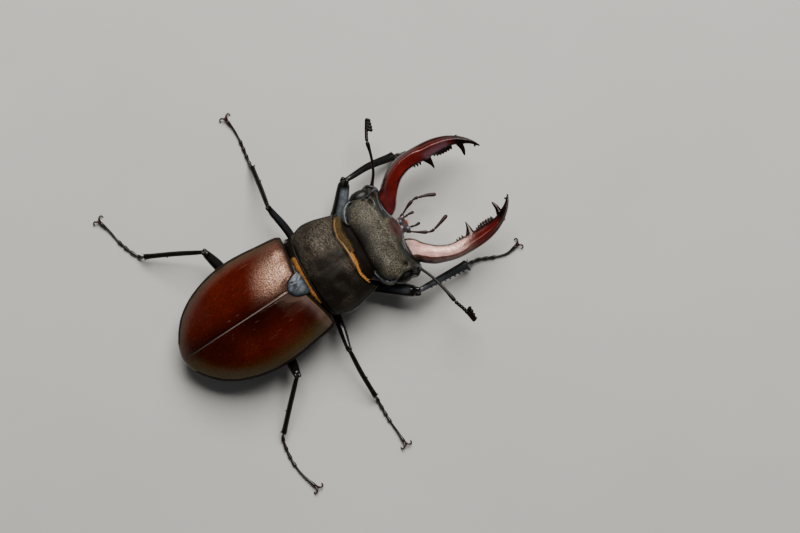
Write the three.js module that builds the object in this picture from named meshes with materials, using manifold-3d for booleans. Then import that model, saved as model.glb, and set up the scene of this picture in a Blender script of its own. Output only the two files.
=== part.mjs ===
// Male stag beetle, life size, standing still. Millimetres, +Z up, floor at z = 0.
// Body frame while building: head toward -Y, the beetle's left is +X, tip of the wing cases at y = 0.
import * as THREE from 'three';
import { mergeVertices } from 'three/addons/utils/BufferGeometryUtils.js';
import Module from 'manifold-3d';

const wasm = await Module();
wasm.setup();

// ---------------------------------------------------------------- driving dimensions
const GAP = 0.3;                 // clearance between neighbouring plates
const SHELL = 0.8;               // thickness of wing cases and pronotum plate
const HEAD_YAW = -3 * Math.PI / 180;   // head and pronotum turned a little to the beetle's right
const YAW_AT = [0, -27];         // pivot of that turn
const PRONOTUM_SHIFT = 0.1;
const HEAD_SHIFT = 0.4;

const ELYTRA_HALF_WIDTH = 10.6;
const ELYTRA_TOP = 14.0;
const ELYTRA_EDGE = 7.4;
const SUTURE_GAP = 0.12;         // half of the gap along the middle line

const BELLY = 3.1;               // underside of the hind body above the floor
const CHEST = 3.3;               // underside of the front body

const PRONOTUM_TOP = 13.1;
const HEAD_TOP = 12.3;
const HEAD_BOTTOM = 5.7;
const MANDIBLE_Z = 8.7;
const MANDIBLE_HALF_HEIGHT = 1.9;

const EYE = { at: [7.75, -42.1, 9.1], r: [1.0, 1.55, 1.25] };
const KNEE = { fore: 7.2, mid: 7.0, hind: 7.2 };

// ---------------------------------------------------------------- helpers
const V = (x, y, z = 0) => new THREE.Vector3(x, y, z);
const clamp = (x, a, b) => Math.min(b, Math.max(a, x));
const smooth = (a, b, x) => { const t = clamp((x - a) / (b - a), 0, 1); return t * t * (3 - 2 * t); };

// Smooth function through [position, value] keys (cubic, tangents from neighbours).
function keys(list) {
  return (x) => {
    if (x <= list[0][0]) return list[0][1];
    const n = list.length;
    if (x >= list[n - 1][0]) return list[n - 1][1];
    let i = 0;
    while (x > list[i + 1][0]) i++;
    const slope = (j) => {
      const a = list[Math.max(0, j - 1)], b = list[Math.min(n - 1, j + 1)];
      return (b[1] - a[1]) / (b[0] - a[0]);
    };
    const [x0, y0] = list[i], [x1, y1] = list[i + 1], h = x1 - x0, t = (x - x0) / h;
    const t2 = t * t, t3 = t2 * t;
    return (2 * t3 - 3 * t2 + 1) * y0 + (t3 - 2 * t2 + t) * h * slope(i) + (-2 * t3 + 3 * t2) * y1 + (t3 - t2) * h * slope(i + 1);
  };
}

// Curve through plan points, by arc length.
function plan(points) {
  const c = new THREE.CatmullRomCurve3(points.map((p) => V(p[0], p[1], p[2] ?? 0)), false, 'catmullrom', 0.5);
  c.arcLengthDivisions = 200;
  return (t) => c.getPointAt(clamp(t, 0, 1));
}
const mirror = (points) => points.map((p) => [-p[0], ...p.slice(1)]);
const across = (half) => [...mirror(half).reverse(), ...half.slice(half[0][0] === 0 ? 1 : 0)];

// Patch between four border curves: u runs along front and rear, v along start and end.
function patch(front, rear, start, end) {
  const f = plan(front), r = plan(rear), s = plan(start), e = plan(end);
  const p00 = f(0), p10 = f(1), p01 = r(0), p11 = r(1);
  return (u, v) => {
    const q = V(0, 0, 0);
    q.addScaledVector(f(u), 1 - v).addScaledVector(r(u), v).addScaledVector(s(v), 1 - u).addScaledVector(e(v), u);
    q.addScaledVector(p00, -(1 - u) * (1 - v)).addScaledVector(p10, -u * (1 - v)).addScaledVector(p01, -(1 - u) * v).addScaledVector(p11, -u * v);
    return q;
  };
}

// Rounded section: 1 in the middle, 0 at the rim.
const dome = (x, p, q) => Math.pow(Math.max(0, 1 - Math.pow(Math.min(1, Math.abs(x)), p)), 1 / q);
const even = (t) => 0.5 - 0.5 * Math.cos(Math.PI * t);     // steps that close up at both rims
const oneEnd = (t) => Math.sin(0.5 * Math.PI * t);         // steps that close up at the far rim

function weld(geometry) {
  const g = geometry.clone();
  g.deleteAttribute('normal');
  if (g.attributes.uv) g.deleteAttribute('uv');
  const m = mergeVertices(g, 1e-3);
  const p = m.attributes.position, idx = m.index.array, out = [];
  let volume = 0;
  const a = V(0, 0), b = V(0, 0), c = V(0, 0);
  for (let i = 0; i < idx.length; i += 3) {
    if (idx[i] === idx[i + 1] || idx[i + 1] === idx[i + 2] || idx[i] === idx[i + 2]) continue;
    a.fromBufferAttribute(p, idx[i]); b.fromBufferAttribute(p, idx[i + 1]); c.fromBufferAttribute(p, idx[i + 2]);
    volume += a.dot(b.cross(c));
    out.push(idx[i], idx[i + 1], idx[i + 2]);
  }
  if (volume < 0) for (let i = 0; i < out.length; i += 3) [out[i + 1], out[i + 2]] = [out[i + 2], out[i + 1]];
  m.setIndex(out);
  return m;
}

// Plate or body with a top and a bottom sheet over one plan, joined by its rim.
// sheet(u, v, side) gives the point; side is +1 for the top and -1 for the bottom.
function pillow(nu, nv, sheet, wu = even, wv = even) {
  const g = new THREE.BoxGeometry(1, 1, 1, nu, nv, 1);
  const p = g.attributes.position;
  for (let i = 0; i < p.count; i++) {
    const q = sheet(wu(clamp(p.getX(i) + 0.5, 0, 1)), wv(clamp(p.getY(i) + 0.5, 0, 1)), p.getZ(i) > 0 ? 1 : -1);
    p.setXYZ(i, q.x, q.y, q.z);
  }
  return weld(g);
}

// Round member along a path. stations: [fraction of length, half-thickness in the path's plane, half-thickness upward].
function limb(points, stations, sides = 8, ref = [0, 0, 1]) {
  const c = new THREE.CatmullRomCurve3(points.map((q) => V(...q)), false, 'catmullrom', 0.5);
  c.arcLengthDivisions = 200;
  const profile = [new THREE.Vector2(0, 0), ...stations.map((s, i) => new THREE.Vector2(1, i + 1)), new THREE.Vector2(0, stations.length + 1)];
  const g = new THREE.LatheGeometry(profile, sides);
  const p = g.attributes.position, up = V(...ref);
  for (let i = 0; i < p.count; i++) {
    const row = Math.round(p.getY(i));
    const end = row === 0 ? 0 : row === stations.length + 1 ? stations.length - 1 : row - 1;
    const [t, a, b] = stations[end];
    const o = c.getPointAt(clamp(t, 0, 1)), d = c.getTangentAt(clamp(t, 0, 1)).normalize();
    const side = V(0, 0).crossVectors(d, up).normalize(), rise = V(0, 0).crossVectors(side, d).normalize();
    if (row > 0 && row <= stations.length) o.addScaledVector(side, p.getX(i) * a).addScaledVector(rise, p.getZ(i) * (b ?? a));
    p.setXYZ(i, o.x, o.y, o.z);
  }
  return weld(g);
}

// Member with rounded ends: radii r at evenly spaced keys along the path.
function rod(points, r, rings, sides, ref, flat = 1, ends = [0.5, 0.5]) {
  const c = new THREE.CatmullRomCurve3(points.map((q) => V(...q)), false, 'catmullrom', 0.5);
  const L = c.getLength(), f = keys(r), out = [];
  for (let i = 0; i <= rings; i++) {
    const t = 0.5 - 0.5 * Math.cos(Math.PI * (i + 0.5) / (rings + 1)) ;
    const R = f(t), d0 = t * L / (R * ends[0] + 1e-9), d1 = (1 - t) * L / (R * ends[1] + 1e-9);
    const cap = Math.sqrt(clamp(1 - Math.pow(1 - Math.min(1, d0), 2), 0.08, 1)) * Math.sqrt(clamp(1 - Math.pow(1 - Math.min(1, d1), 2), 0.08, 1));
    out.push([t, R * cap, R * cap * flat]);
  }
  out[0][0] = 0; out[out.length - 1][0] = 1;
  return limb(points, out, sides, ref);
}

const spike = (from, to, r, sides = 4, ref = [0, 0, 1], bend = [0, 0, 0]) => {
  const m = from.map((v, i) => (v + to[i]) / 2 + bend[i]);
  return limb([from, m, to], bend.some((v) => v) ? [[0, r, r], [0.5, r * 0.72, r * 0.72], [1, r * 0.16, r * 0.16]] : [[0, r, r], [1, r * 0.16, r * 0.16]], sides, ref);
};

function ball(at, r, w = 12, h = 8) {
  return weld(new THREE.SphereGeometry(1, w, h).scale(...r).translate(...at));
}

function solid(geometry) {
  const g = weld(geometry);
  return new wasm.Manifold(new wasm.Mesh({ numProp: 3, vertProperties: new Float32Array(g.attributes.position.array), triVerts: new Uint32Array(g.index.array) }));
}
function shape(manifold) {
  const m = manifold.getMesh();
  const g = new THREE.BufferGeometry();
  g.setAttribute('position', new THREE.BufferAttribute(new Float32Array(m.vertProperties), m.numProp));
  g.setIndex(new THREE.BufferAttribute(new Uint32Array(m.triVerts), 1));
  return g;
}
const join = (list) => shape(list.map(solid).reduce((a, b) => a.add(b)));
const cut = (g, list) => shape(list.map(solid).reduce((a, b) => a.subtract(b), solid(g)));
const FLOOR = new THREE.BoxGeometry(200, 200, 10).translate(0, 0, -5);
const onFloor = (g) => cut(g, [FLOOR]);

// ---------------------------------------------------------------- group and placing
const group = new THREE.Group();
const COLOURS = { shell: 0x4a140c, black: 0x17130f, dark: 0x2a211b, jaw: 0x5a0f0c, eye: 0x3a3420, brown: 0x3a1d12, slate: 0x3c4048 };
function put(name, geometry, colour) {
  const mesh = new THREE.Mesh(geometry, new THREE.MeshStandardMaterial({ color: COLOURS[colour], roughness: 0.4 }));
  mesh.name = name;
  group.add(mesh);
}
// Moves a shape from the symmetric front frame into the turned one.
function turn(g, shift) {
  const q = g.clone();
  q.translate(shift, 0, 0).translate(-YAW_AT[0], -YAW_AT[1], 0).rotateZ(HEAD_YAW).translate(YAW_AT[0], YAW_AT[1], 0);
  return q;
}
const turnPoint = (x, y, shift) => {
  const dx = x + shift - YAW_AT[0], dy = y - YAW_AT[1], c = Math.cos(HEAD_YAW), s = Math.sin(HEAD_YAW);
  return [dx * c - dy * s + YAW_AT[0], dx * s + dy * c + YAW_AT[1]];
};
const flip = (g) => weld(g.clone().scale(-1, 1, 1));

// ---------------------------------------------------------------- wing cases
const W = ELYTRA_HALF_WIDTH;
const elytraTop = keys([[-27, ELYTRA_TOP - 1.2], [-24.5, ELYTRA_TOP - 0.5], [-18, ELYTRA_TOP], [-12, ELYTRA_TOP - 0.5], [-8, ELYTRA_TOP - 1.4], [-4, ELYTRA_TOP - 3.2], [0, ELYTRA_TOP - 5.6]]);
const elytraEdge = keys([[-27, ELYTRA_EDGE + 1.2], [-24, ELYTRA_EDGE + 0.3], [-18, ELYTRA_EDGE], [-10, ELYTRA_EDGE - 0.7], [-4, ELYTRA_EDGE - 1.6], [0, ELYTRA_EDGE - 2.0]]);
const elytronPlan = patch(
  [[SUTURE_GAP, -22.65], [0.75, -22.75], [1.45, -23.2], [1.95, -23.95], [2.3, -24.8], [2.6, -25.5], [4.2, -26.0], [6.0, -26.42], [7.7, -26.68], [9.05, -26.7]],
  [[SUTURE_GAP, -0.1], [0.9, -0.16], [2.0, -0.5], [3.2, -1.05]],
  [[SUTURE_GAP, -22.65], [SUTURE_GAP, -15], [SUTURE_GAP, -7], [SUTURE_GAP, -0.1]],
  [[9.05, -26.7], [9.48, -25.9], [9.72, -24.6], [W - 0.62, -22.5], [W - 0.22, -19.5], [W, -16.5], [W - 0.18, -13.2], [W - 0.88, -9.9], [W - 2.05, -6.8], [W - 3.7, -4.2], [5.05, -2.4], [3.2, -1.05]],
);
const sectionE = (u) => dome(u, 2.5, 1.75);
const endE = (v) => dome(v, 4.2, 2.0);
function elytronPoint(u, v, drop, inset) {
  const q = elytronPlan(u, v), h = elytraTop(q.y) - drop - elytraEdge(q.y);
  q.z = elytraEdge(q.y) + Math.max(0, h) * sectionE(u) * endE(v) - 0.35 * smooth(0.12, 0, v);
  const k = 1 - inset / W;
  q.x = SUTURE_GAP + (q.x - SUTURE_GAP) * k;
  q.y = q.y - inset * smooth(0.55, 1, v) * smooth(1.2, 0.2, u) - 0.0;
  return q;
}
const elytron = pillow(11, 12, (u, v, side) => {
  const q = side > 0 ? elytronPoint(u, v, 0, 0) : elytronPoint(u, v, SHELL, 0.7);
  if (side < 0) q.z -= 0.5 * (1 - sectionE(u) * endE(v));
  return q;
}, oneEnd, even);
put('elytron_left', elytron, 'shell');
put('elytron_right', flip(elytron), 'shell');

const scutellumPlan = patch(
  [[-2.1, -26.15], [-1.1, -26.35], [0, -26.4], [1.1, -26.35], [2.1, -26.15]],
  [[-0.45, -23.15], [0, -23.06], [0.45, -23.15]],
  [[-2.1, -26.15], [-1.98, -25.4], [-1.62, -24.3], [-1.1, -23.55], [-0.45, -23.15]],
  [[2.1, -26.15], [1.98, -25.4], [1.62, -24.3], [1.1, -23.55], [0.45, -23.15]],
);
put('scutellum', pillow(4, 4, (u, v, side) => {
  const q = scutellumPlan(u, v);
  q.z = side > 0 ? elytraTop(q.y) - 0.25 + 0.25 * dome(2 * u - 1, 2, 2) * dome(2 * v - 1, 2, 2) : elytraTop(q.y) - 1.1;
  return q;
}), 'slate');

// ---------------------------------------------------------------- hind body
const bodyHalf = (y) => keys([[-27, 7.4], [-25, 8.7], [-20, 9.3], [-15, 9.2], [-11, 8.4], [-7, 6.7], [-4, 4.6], [-2.8, 3.3], [-1.8, 2.0]])(y);
const bellyZ = keys([[-27, CHEST + 0.5], [-24, CHEST - 0.1], [-18, BELLY], [-10, BELLY + 0.2], [-5, BELLY + 0.7], [-1.2, BELLY + 1.6]]);
const elytraHalf = keys([[-26.7, 9.05], [-25.9, 9.48], [-24.6, 9.72], [-22.5, W - 0.62], [-19.5, W - 0.22], [-16.5, W], [-13.2, W - 0.18], [-9.9, W - 0.88], [-6.8, W - 2.05], [-4.2, W - 3.7], [-2.4, 5.05], [-1.05, 3.2], [-0.5, 2.0], [-0.1, 0.4]]);
const innerTop = (x, y) => {
  const e = elytraEdge(y) - 0.65, t = elytraTop(y) - SHELL - 0.45;
  return e - 0.3 + Math.max(0, t - e) * dome(x / (0.925 * elytraHalf(y)), 2.5, 1.75) * dome(clamp((y + 26.1) / 25.4, 0, 1), 4.2, 2.0);
};
function torso(y0, y1, nu, nv, frontArc, rearArc) {
  const p = patch(
    [[-bodyHalf(y0), y0], [0, y0 - frontArc], [bodyHalf(y0), y0]],
    [[-bodyHalf(y1), y1], [0, y1 + rearArc], [bodyHalf(y1), y1]],
    [0, 0.2, 0.4, 0.6, 0.8, 1].map((t) => y0 + (y1 - y0) * t).map((y) => [-bodyHalf(y), y]),
    [0, 0.2, 0.4, 0.6, 0.8, 1].map((t) => y0 + (y1 - y0) * t).map((y) => [bodyHalf(y), y]),
  );
  return pillow(nu, nv, (u, v, side) => {
    const q = p(u, v), e = elytraEdge(q.y) - 0.9;
    q.z = side > 0 ? Math.max(e + 0.05, innerTop(q.x, q.y)) : e - 0.4 - Math.max(0, e - 0.4 - bellyZ(q.y)) * dome(2 * u - 1, 2.6, 1.5);
    return q;
  }, even, (t) => t);
}
const hindCoxa = (s) => ball([s * 3.5, -15.6, 3.4], [3.2, 1.35, 0.95], 9, 6);
const midCoxa = (s) => ball([s * 2.75, -25.5, 3.3], [1.9, 1.5, 1.15], 9, 6);
const foreCoxa = (s) => turn(ball([s * 2.5, -31.8, 3.6], [2.3, 1.45, 1.35], 9, 6), PRONOTUM_SHIFT);
const bigger = (make, k) => (s) => { const g = make(s); g.computeBoundingBox(); const c = g.boundingBox.getCenter(V(0, 0)); return g.clone().translate(-c.x, -c.y, -c.z).scale(...k).translate(c.x, c.y, c.z); };
const hindRoom = bigger(hindCoxa, [1.1, 1.24, 1.34]), midRoom = bigger(midCoxa, [1.17, 1.22, 1.28]), foreRoom = bigger(foreCoxa, [1.14, 1.22, 1.24]);

// ---------------------------------------------------------------- legs
const LEGS = {
  fore_left: { hip: [4.6, -33.5, 3.5], bend: [7.0, -37.7, 5.3], knee: [11.2, -41.8, KNEE.fore], shin: [11.2, -47.0, 4.5], ankle: [10.35, -51.9, 1.75], foot: [[10.25, -52.4, 0.7], [9.6, -54.4, 0.4], [8.9, -56.6, 0.36], [8.2, -58.6, 0.42], [7.6, -60.6, 0.6]], out: [1, 0.1], drop: -0.75, kind: 'fore' },
  fore_right: { hip: [-4.8, -33.1, 3.5], bend: [-8.4, -37.4, 5.1], knee: [-12.35, -42.0, KNEE.fore - 0.6], shin: [-12.75, -47.2, 4.1], ankle: [-13.15, -52.4, 1.7], foot: [[-13.3, -53.0, 0.7], [-13.6, -54.5, 0.4], [-14.75, -57.0, 0.36], [-15.5, -59.3, 0.42], [-15.2, -61.5, 0.6]], out: [-1, 0.1], kind: 'fore' },
  mid_left: { hip: [4.5, -27.0, 3.1], bend: [8.34, -28.4, 4.6], knee: [14.6, -27.85, KNEE.mid + 0.4], shin: [18.8, -28.6, 4.5], ankle: [22.9, -29.2, 1.6], foot: [[23.4, -29.1, 0.7], [25.2, -29.4, 0.4], [28.0, -29.9, 0.36], [30.3, -30.05, 0.42], [32.3, -29.9, 0.6]], out: [0, -1], kind: 'mid' },
  mid_right: { hip: [-4.4, -26.8, 3.1], bend: [-8.0, -27.5, 4.4], knee: [-14.35, -26.15, KNEE.mid - 0.7], shin: [-19.3, -25.6, 3.95], ankle: [-24.3, -25.35, 1.6], foot: [[-24.9, -25.3, 0.7], [-26.9, -25.15, 0.4], [-29.3, -25.05, 0.36], [-31.6, -25.15, 0.42], [-34.0, -25.2, 0.6]], out: [0, -1], kind: 'mid' },
  hind_left: { hip: [5.7, -15.3, 3.1], bend: [10.5, -14.7, 4.9], knee: [14.2, -13.95, KNEE.hind - 0.4], shin: [17.1, -8.9, 4.2], ankle: [19.75, -3.9, 1.6], foot: [[20.1, -3.3, 0.7], [21.9, -2.35, 0.4], [24.5, -1.55, 0.36], [27.0, -1.2, 0.42], [29.2, -0.65, 0.6]], out: [-0.86, 0.5], kind: 'hind' },
  hind_right: { hip: [-5.7, -15.7, 3.1], bend: [-10.4, -16.2, 5.0], knee: [-13.2, -15.95, KNEE.hind - 0.2], shin: [-17.2, -11.6, 4.3], ankle: [-20.9, -7.7, 1.6], foot: [[-21.5, -7.1, 0.7], [-23.6, -6.55, 0.4], [-26.3, -6.25, 0.36], [-29.0, -6.5, 0.42], [-32.0, -7.4, 0.6]], out: [0.7, 0.7], kind: 'hind' },
};
const FEMUR_R = { fore: 1.25, mid: 0.74, hind: 0.98 };
const lerp3 = (a, b, t) => a.map((v, i) => v + (b[i] - v) * t);
const unit = (v) => { const n = Math.hypot(...v); return v.map((x) => x / n); };
function stretch(from, to, cutA, cutB) {      // shortens a segment at both ends
  const L = Math.hypot(...to.map((v, i) => v - from[i]));
  return [lerp3(from, to, cutA / L), lerp3(from, to, 1 - cutB / L)];
}
function leg(name, d) {
  const s = name.endsWith('left') ? 1 : -1, R = FEMUR_R[d.kind];
  // femur: spindle, flattened fore and aft, thickest before its middle
  const kneeEnd = d.kind === 'fore' ? 0.95 : 0.85;
  put('femur_' + name, rod([d.hip, d.bend, d.knee], [[0, R * 0.7], [0.3, R], [0.65, R], [1, R * kneeEnd]], 6, 6, [0, 0, 1], 0.85), 'black');
  // tibia: thin at the knee, wider to the ankle, with its teeth
  const k = stretch(d.knee, d.shin, R * 0.5 + 0.3, 0)[0], e = stretch(d.shin, d.ankle, 0, 0.1)[1];
  const dir = unit(e.map((v, i) => v - k[i])), out = unit([d.out[0], d.out[1], 0]);
  const n = unit([-dir[1] * 0, 0, 1]);
  const tip = d.kind === 'fore' ? 0.8 : 0.52, root = d.kind === 'fore' ? 0.52 : 0.46;
  const body = rod([k, d.shin, e], [[0, root], [0.5, root + (tip - root) * 0.4], [0.9, tip], [1, tip * 0.95]], 3, 6, [0, 0, 1], d.kind === 'fore' ? 0.62 : 0.8);
  const parts = [body];
  const side = (() => { const o = [out[0], out[1], 0]; const dot = o[0] * dir[0] + o[1] * dir[1] + o[2] * dir[2]; return unit(o.map((v, i) => v - dot * dir[i])); })();
  const drop = d.drop ?? 0, level = Math.sqrt(1 - drop * drop);
  const tooth = (t, len, lean, r) => {
    const c = t < 0.5 ? lerp3(k, d.shin, t * 2) : lerp3(d.shin, e, t * 2 - 1);
    parts.push(spike(c, c.map((v, i) => v + side[i] * len * level + dir[i] * lean + (i === 2 ? len * drop : 0)), r));
  };
  if (d.kind === 'fore') { tooth(0.34, 0.8, 0.15, 0.28); tooth(0.48, 0.95, 0.2, 0.32); tooth(0.62, 1.05, 0.25, 0.34); tooth(0.76, 1.15, 0.3, 0.36); tooth(0.93, 1.35, 0.5, 0.45); }
  else if (d.kind === 'mid') { tooth(0.52, 0.95, 0.2, 0.32); tooth(0.95, 0.95, 0.35, 0.32); }
  else { tooth(0.58, 0.9, 0.2, 0.3); tooth(0.95, 1.0, 0.35, 0.32); }
  // two spurs at the end of the tibia, on the inner side
  const c = lerp3(k, e, 0.96);
  parts.push(spike(c, c.map((v, i) => v - side[i] * 0.85 + dir[i] * 0.7), 0.3));
  put('tibia_' + name, join(parts), 'black');
  // tarsus: four short joints with a lobed end, then a long thin one that widens to the claws
  const path = new THREE.CatmullRomCurve3(d.foot.map((q) => V(...q)), false, 'catmullrom', 0.5);
  const joints = [0, 0.17, 0.32, 0.46, 0.6, 1], rings = [[0, 0.3, 0.3]];
  for (let i = 0; i < 5; i++) {
    const w = joints[i + 1] - joints[i];
    if (i < 4) rings.push([joints[i] + w * 0.7, 0.47, 0.45], [joints[i + 1], 0.28, 0.3]);
    else rings.push([joints[i] + w * 0.85, 0.38, 0.42], [1, 0.28, 0.3]);
  }
  const foot = [lerp3(e, d.foot[0], 0.45), ...d.foot];
  put('tarsus_' + name, onFloor(limb(foot, rings, 5)), 'brown');
  // two hooked claws with their tips on the floor
  const end = path.getPointAt(1), t = path.getTangentAt(1).setZ(0).normalize(), r = V(t.y, -t.x, 0);
  const claws = [-1, 1].map((w) => {
    const q = (f, l, z) => end.clone().addScaledVector(t, f).addScaledVector(r, w * l).setZ(z).toArray();
    return limb([q(0.34, 0.02, 0.6), q(0.8, 0.5, 0.88), q(0.85, 1.15, 0.74), q(0.4, 1.55, 0.4), q(0.05, 1.5, 0.1)], [[0, 0.3, 0.3], [0.3, 0.28, 0.28], [0.62, 0.25, 0.25], [1, 0.2, 0.2]], 4);
  });
  put('claws_' + name, onFloor(join(claws)), 'black');
}

// ---------------------------------------------------------------- underside bodies
const legRoom = (name, grow) => { const d = LEGS[name], R = FEMUR_R[d.kind] + grow; return rod([stretch(d.hip, d.bend, -0.4, 0)[0], d.bend, d.knee], [[0, R], [1, R]], 4, 6, [0, 0, 1], 0.95); };
put('abdomen', cut(torso(-14.2, -1.9, 10, 7, 0, 0.4), [hindRoom(1), hindRoom(-1), legRoom('hind_left', 0.35), legRoom('hind_right', 0.35)]), 'dark');
put('sternum', cut(torso(-27.0, -14.6, 10, 5, 0, 0), [hindRoom(1), hindRoom(-1), midRoom(1), midRoom(-1), legRoom('mid_left', 0.35), legRoom('mid_right', 0.35), legRoom('hind_left', 0.35), legRoom('hind_right', 0.35)]), 'dark');
for (const [side, s] of [['left', 1], ['right', -1]]) {
  put('coxa_fore_' + side, cut(foreCoxa(s), [legRoom('fore_' + side, 0.2)]), 'dark');
  put('coxa_mid_' + side, cut(midCoxa(s), [legRoom('mid_' + side, 0.2)]), 'dark');
  put('coxa_hind_' + side, cut(hindCoxa(s), [legRoom('hind_' + side, 0.2)]), 'dark');
}
for (const name in LEGS) leg(name, LEGS[name]);

// ---------------------------------------------------------------- pronotum and the body under it
const pronotumPlan = patch(
  across([[0, -35.7], [1.8, -35.6], [3.75, -35.3], [5.6, -35.75], [6.6, -36.35], [7.35, -37.05]]),
  across([[0, -26.95], [4.2, -27.1], [6.6, -27.4], [7.85, -27.8]]),
  mirror([[7.35, -37.05], [7.75, -36.0], [8.2, -34.5], [8.7, -32.5], [8.85, -30.5], [8.35, -28.9], [7.85, -27.8]]),
  [[7.35, -37.05], [7.75, -36.0], [8.2, -34.5], [8.7, -32.5], [8.85, -30.5], [8.35, -28.9], [7.85, -27.8]],
);
const pronotumTop = keys([[-37.1, PRONOTUM_TOP - 1.3], [-35.5, PRONOTUM_TOP - 0.7], [-32.5, PRONOTUM_TOP], [-29, PRONOTUM_TOP - 0.05], [-27, PRONOTUM_TOP - 0.5]]);
const pronotumEdge = keys([[-37.1, 9.3], [-33, 8.9], [-30, 8.8], [-27, 9.3]]);
const sectionP = (u) => dome(2 * u - 1, 2.3, 1.8);
const pronotum = pillow(12, 7, (u, v, side) => {
  const q = pronotumPlan(u, v), e = pronotumEdge(q.y), lip = 0.35 * (smooth(0.1, 0, v) + smooth(0.9, 1, v));
  if (side > 0) q.z = e + (pronotumTop(q.y) - e) * sectionP(u) - lip;
  else { q.z = e - 0.45 + (pronotumTop(q.y) - e + 0.45 - SHELL) * sectionP(u) - 0.2; q.x *= 0.93; }
  return q;
});
put('pronotum', turn(pronotum, PRONOTUM_SHIFT), 'black');

const coreHalf = keys([[-37.3, 4.6], [-36.2, 5.4], [-34.5, 6.5], [-31, 7.1], [-28, 6.7], [-27, 6.6]]);
const corePlan = patch(
  [[-4.6, -37.3], [0, -37.35], [4.6, -37.3]], [[-6.7, -27.9], [0, -27.75], [6.7, -27.9]],
  [-37.3, -35, -32.5, -30, -27.9].map((y) => [-coreHalf(y), y]), [-37.3, -35, -32.5, -30, -27.9].map((y) => [coreHalf(y), y]),
);
const core = pillow(10, 6, (u, v, side) => {
  const q = corePlan(u, v), e = pronotumEdge(q.y), out = smooth(-35.4, -36.4, q.y);
  const inner = e - 0.65 + (pronotumTop(q.y) - e + 0.45 - SHELL) * dome(q.x / 8.1, 2.3, 1.8);
  if (side > 0) q.z = inner - GAP - 0.2 - 0.6 * out;
  else { const m = e - 1.2; q.z = m - (m - CHEST - 1.9 * out) * dome(2 * u - 1, 2.6, 1.5); }
  return q;
}, even, (t) => t);
put('prosternum', cut(turn(core, PRONOTUM_SHIFT), [foreRoom(1), foreRoom(-1), ...['fore_left', 'fore_right', 'mid_left', 'mid_right'].map((n) => legRoom(n, 0.35))]), 'dark');

// ---------------------------------------------------------------- head
const headHalfSide = [[6.7, -38.0], [7.7, -38.8], [8.05, -40.2], [8.3, -41.8], [8.7, -43.2], [8.9, -44.1], [8.4, -45.1]];
const headPlan = patch(
  across([[0, -46.35], [0.9, -46.25], [1.6, -45.8], [2.3, -45.0], [3.1, -44.6], [4.4, -44.5], [5.9, -44.85], [7.2, -45.25], [8.4, -45.1]]),
  across([[0, -37.8], [2.2, -37.75], [4.4, -37.6], [5.6, -37.75], [6.7, -38.0]]),
  mirror([...headHalfSide].reverse()), [...headHalfSide].reverse(),
);
const headTop = keys([[-46.4, HEAD_TOP - 3.1], [-45.4, HEAD_TOP - 1.9], [-44.6, HEAD_TOP - 1.05], [-43.5, HEAD_TOP - 0.1], [-42.6, HEAD_TOP - 0.25], [-40, HEAD_TOP], [-38.6, HEAD_TOP - 0.3], [-37.7, HEAD_TOP - 0.9]]);
const headEdge = keys([[-46.4, 8.3], [-44, 9.5], [-42, 9.6], [-37.7, 9.3]]);
const headGeo = pillow(14, 9, (u, v, side) => {
  const q = headPlan(u, v), e = Math.min(headEdge(q.y), headTop(q.y) - 0.1);
  if (side > 0) q.z = e + (headTop(q.y) - e) * dome(2 * u - 1, 3.2, 1.6) - 0.25 * smooth(0.93, 1, v);
  else { q.z = e - 1.0 - (e - 1.0 - HEAD_BOTTOM - 0.8 * smooth(-43.5, -46.3, q.y)) * dome(2 * u - 1, 2.6, 1.6); }
  return q;
}, (t) => t * 0.75 + even(t) * 0.25, (t) => t);
const eye = ball(EYE.at, EYE.r, 10, 7);
const eyeRoom = weld(new THREE.SphereGeometry(1, 10, 6).scale(EYE.r[0] + 0.22, EYE.r[1] + 0.22, EYE.r[2] + 0.22).translate(...EYE.at));
put('head', turn(cut(headGeo, [eyeRoom, flip(eyeRoom)]), HEAD_SHIFT), 'dark');
put('eye_left', turn(eye, HEAD_SHIFT), 'eye');
put('eye_right', turn(flip(eye), HEAD_SHIFT), 'eye');

// ---------------------------------------------------------------- mandibles (antler-like)
const jawOuter = plan([[7.3, -45.75], [8.1, -46.5], [9.2, -48.0], [10.05, -50.0], [10.53, -52.05], [10.62, -54.8], [10.4, -57.8], [9.75, -60.2], [8.7, -62.2], [7.5, -63.6], [6.2, -64.62], [5.0, -65.2]]);
const jawInner = plan([[2.5, -46.0], [3.3, -46.9], [4.6, -47.8], [6.1, -49.2], [7.0, -50.5], [7.6, -52.3], [7.6, -54.8], [7.6, -57.6], [7.6, -59.6], [7.3, -61.4], [6.7, -62.7], [6.0, -63.9], [4.9, -65.0]]);
const jawHeight = keys([[0, MANDIBLE_HALF_HEIGHT], [0.15, MANDIBLE_HALF_HEIGHT * 0.98], [0.4, MANDIBLE_HALF_HEIGHT * 0.76], [0.7, MANDIBLE_HALF_HEIGHT * 0.62], [0.9, MANDIBLE_HALF_HEIGHT * 0.42], [1, 0.32]]);
const jawZ = keys([[0, MANDIBLE_Z - 0.55], [0.3, MANDIBLE_Z - 0.1], [0.6, MANDIBLE_Z], [1, MANDIBLE_Z + 0.6]]);
const jawBody = pillow(5, 14, (u, v, side) => {
  const a = jawInner(v), b = jawOuter(v), q = a.clone().lerp(b, u);
  const h = jawHeight(v) * (0.8 + 0.2 * smooth(0, 0.05, v));
  q.y += 1.0 * (1 - Math.pow(2 * u - 1, 2)) * smooth(0.12, 0, v);
  q.z = jawZ(v) + side * (0.14 + (h - 0.14) * dome(2 * u - 1, 2.3, 1.9));
  return q;
}, even, (t) => t);
const jawTooth = (root, tip, r, bend = [0, 0, 0], sides = 6) => spike([root[0], root[1], jawZ(0.6)], [tip[0], tip[1], jawZ(0.7) + 0.1], r, sides, [0, 0, 1], bend);
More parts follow.
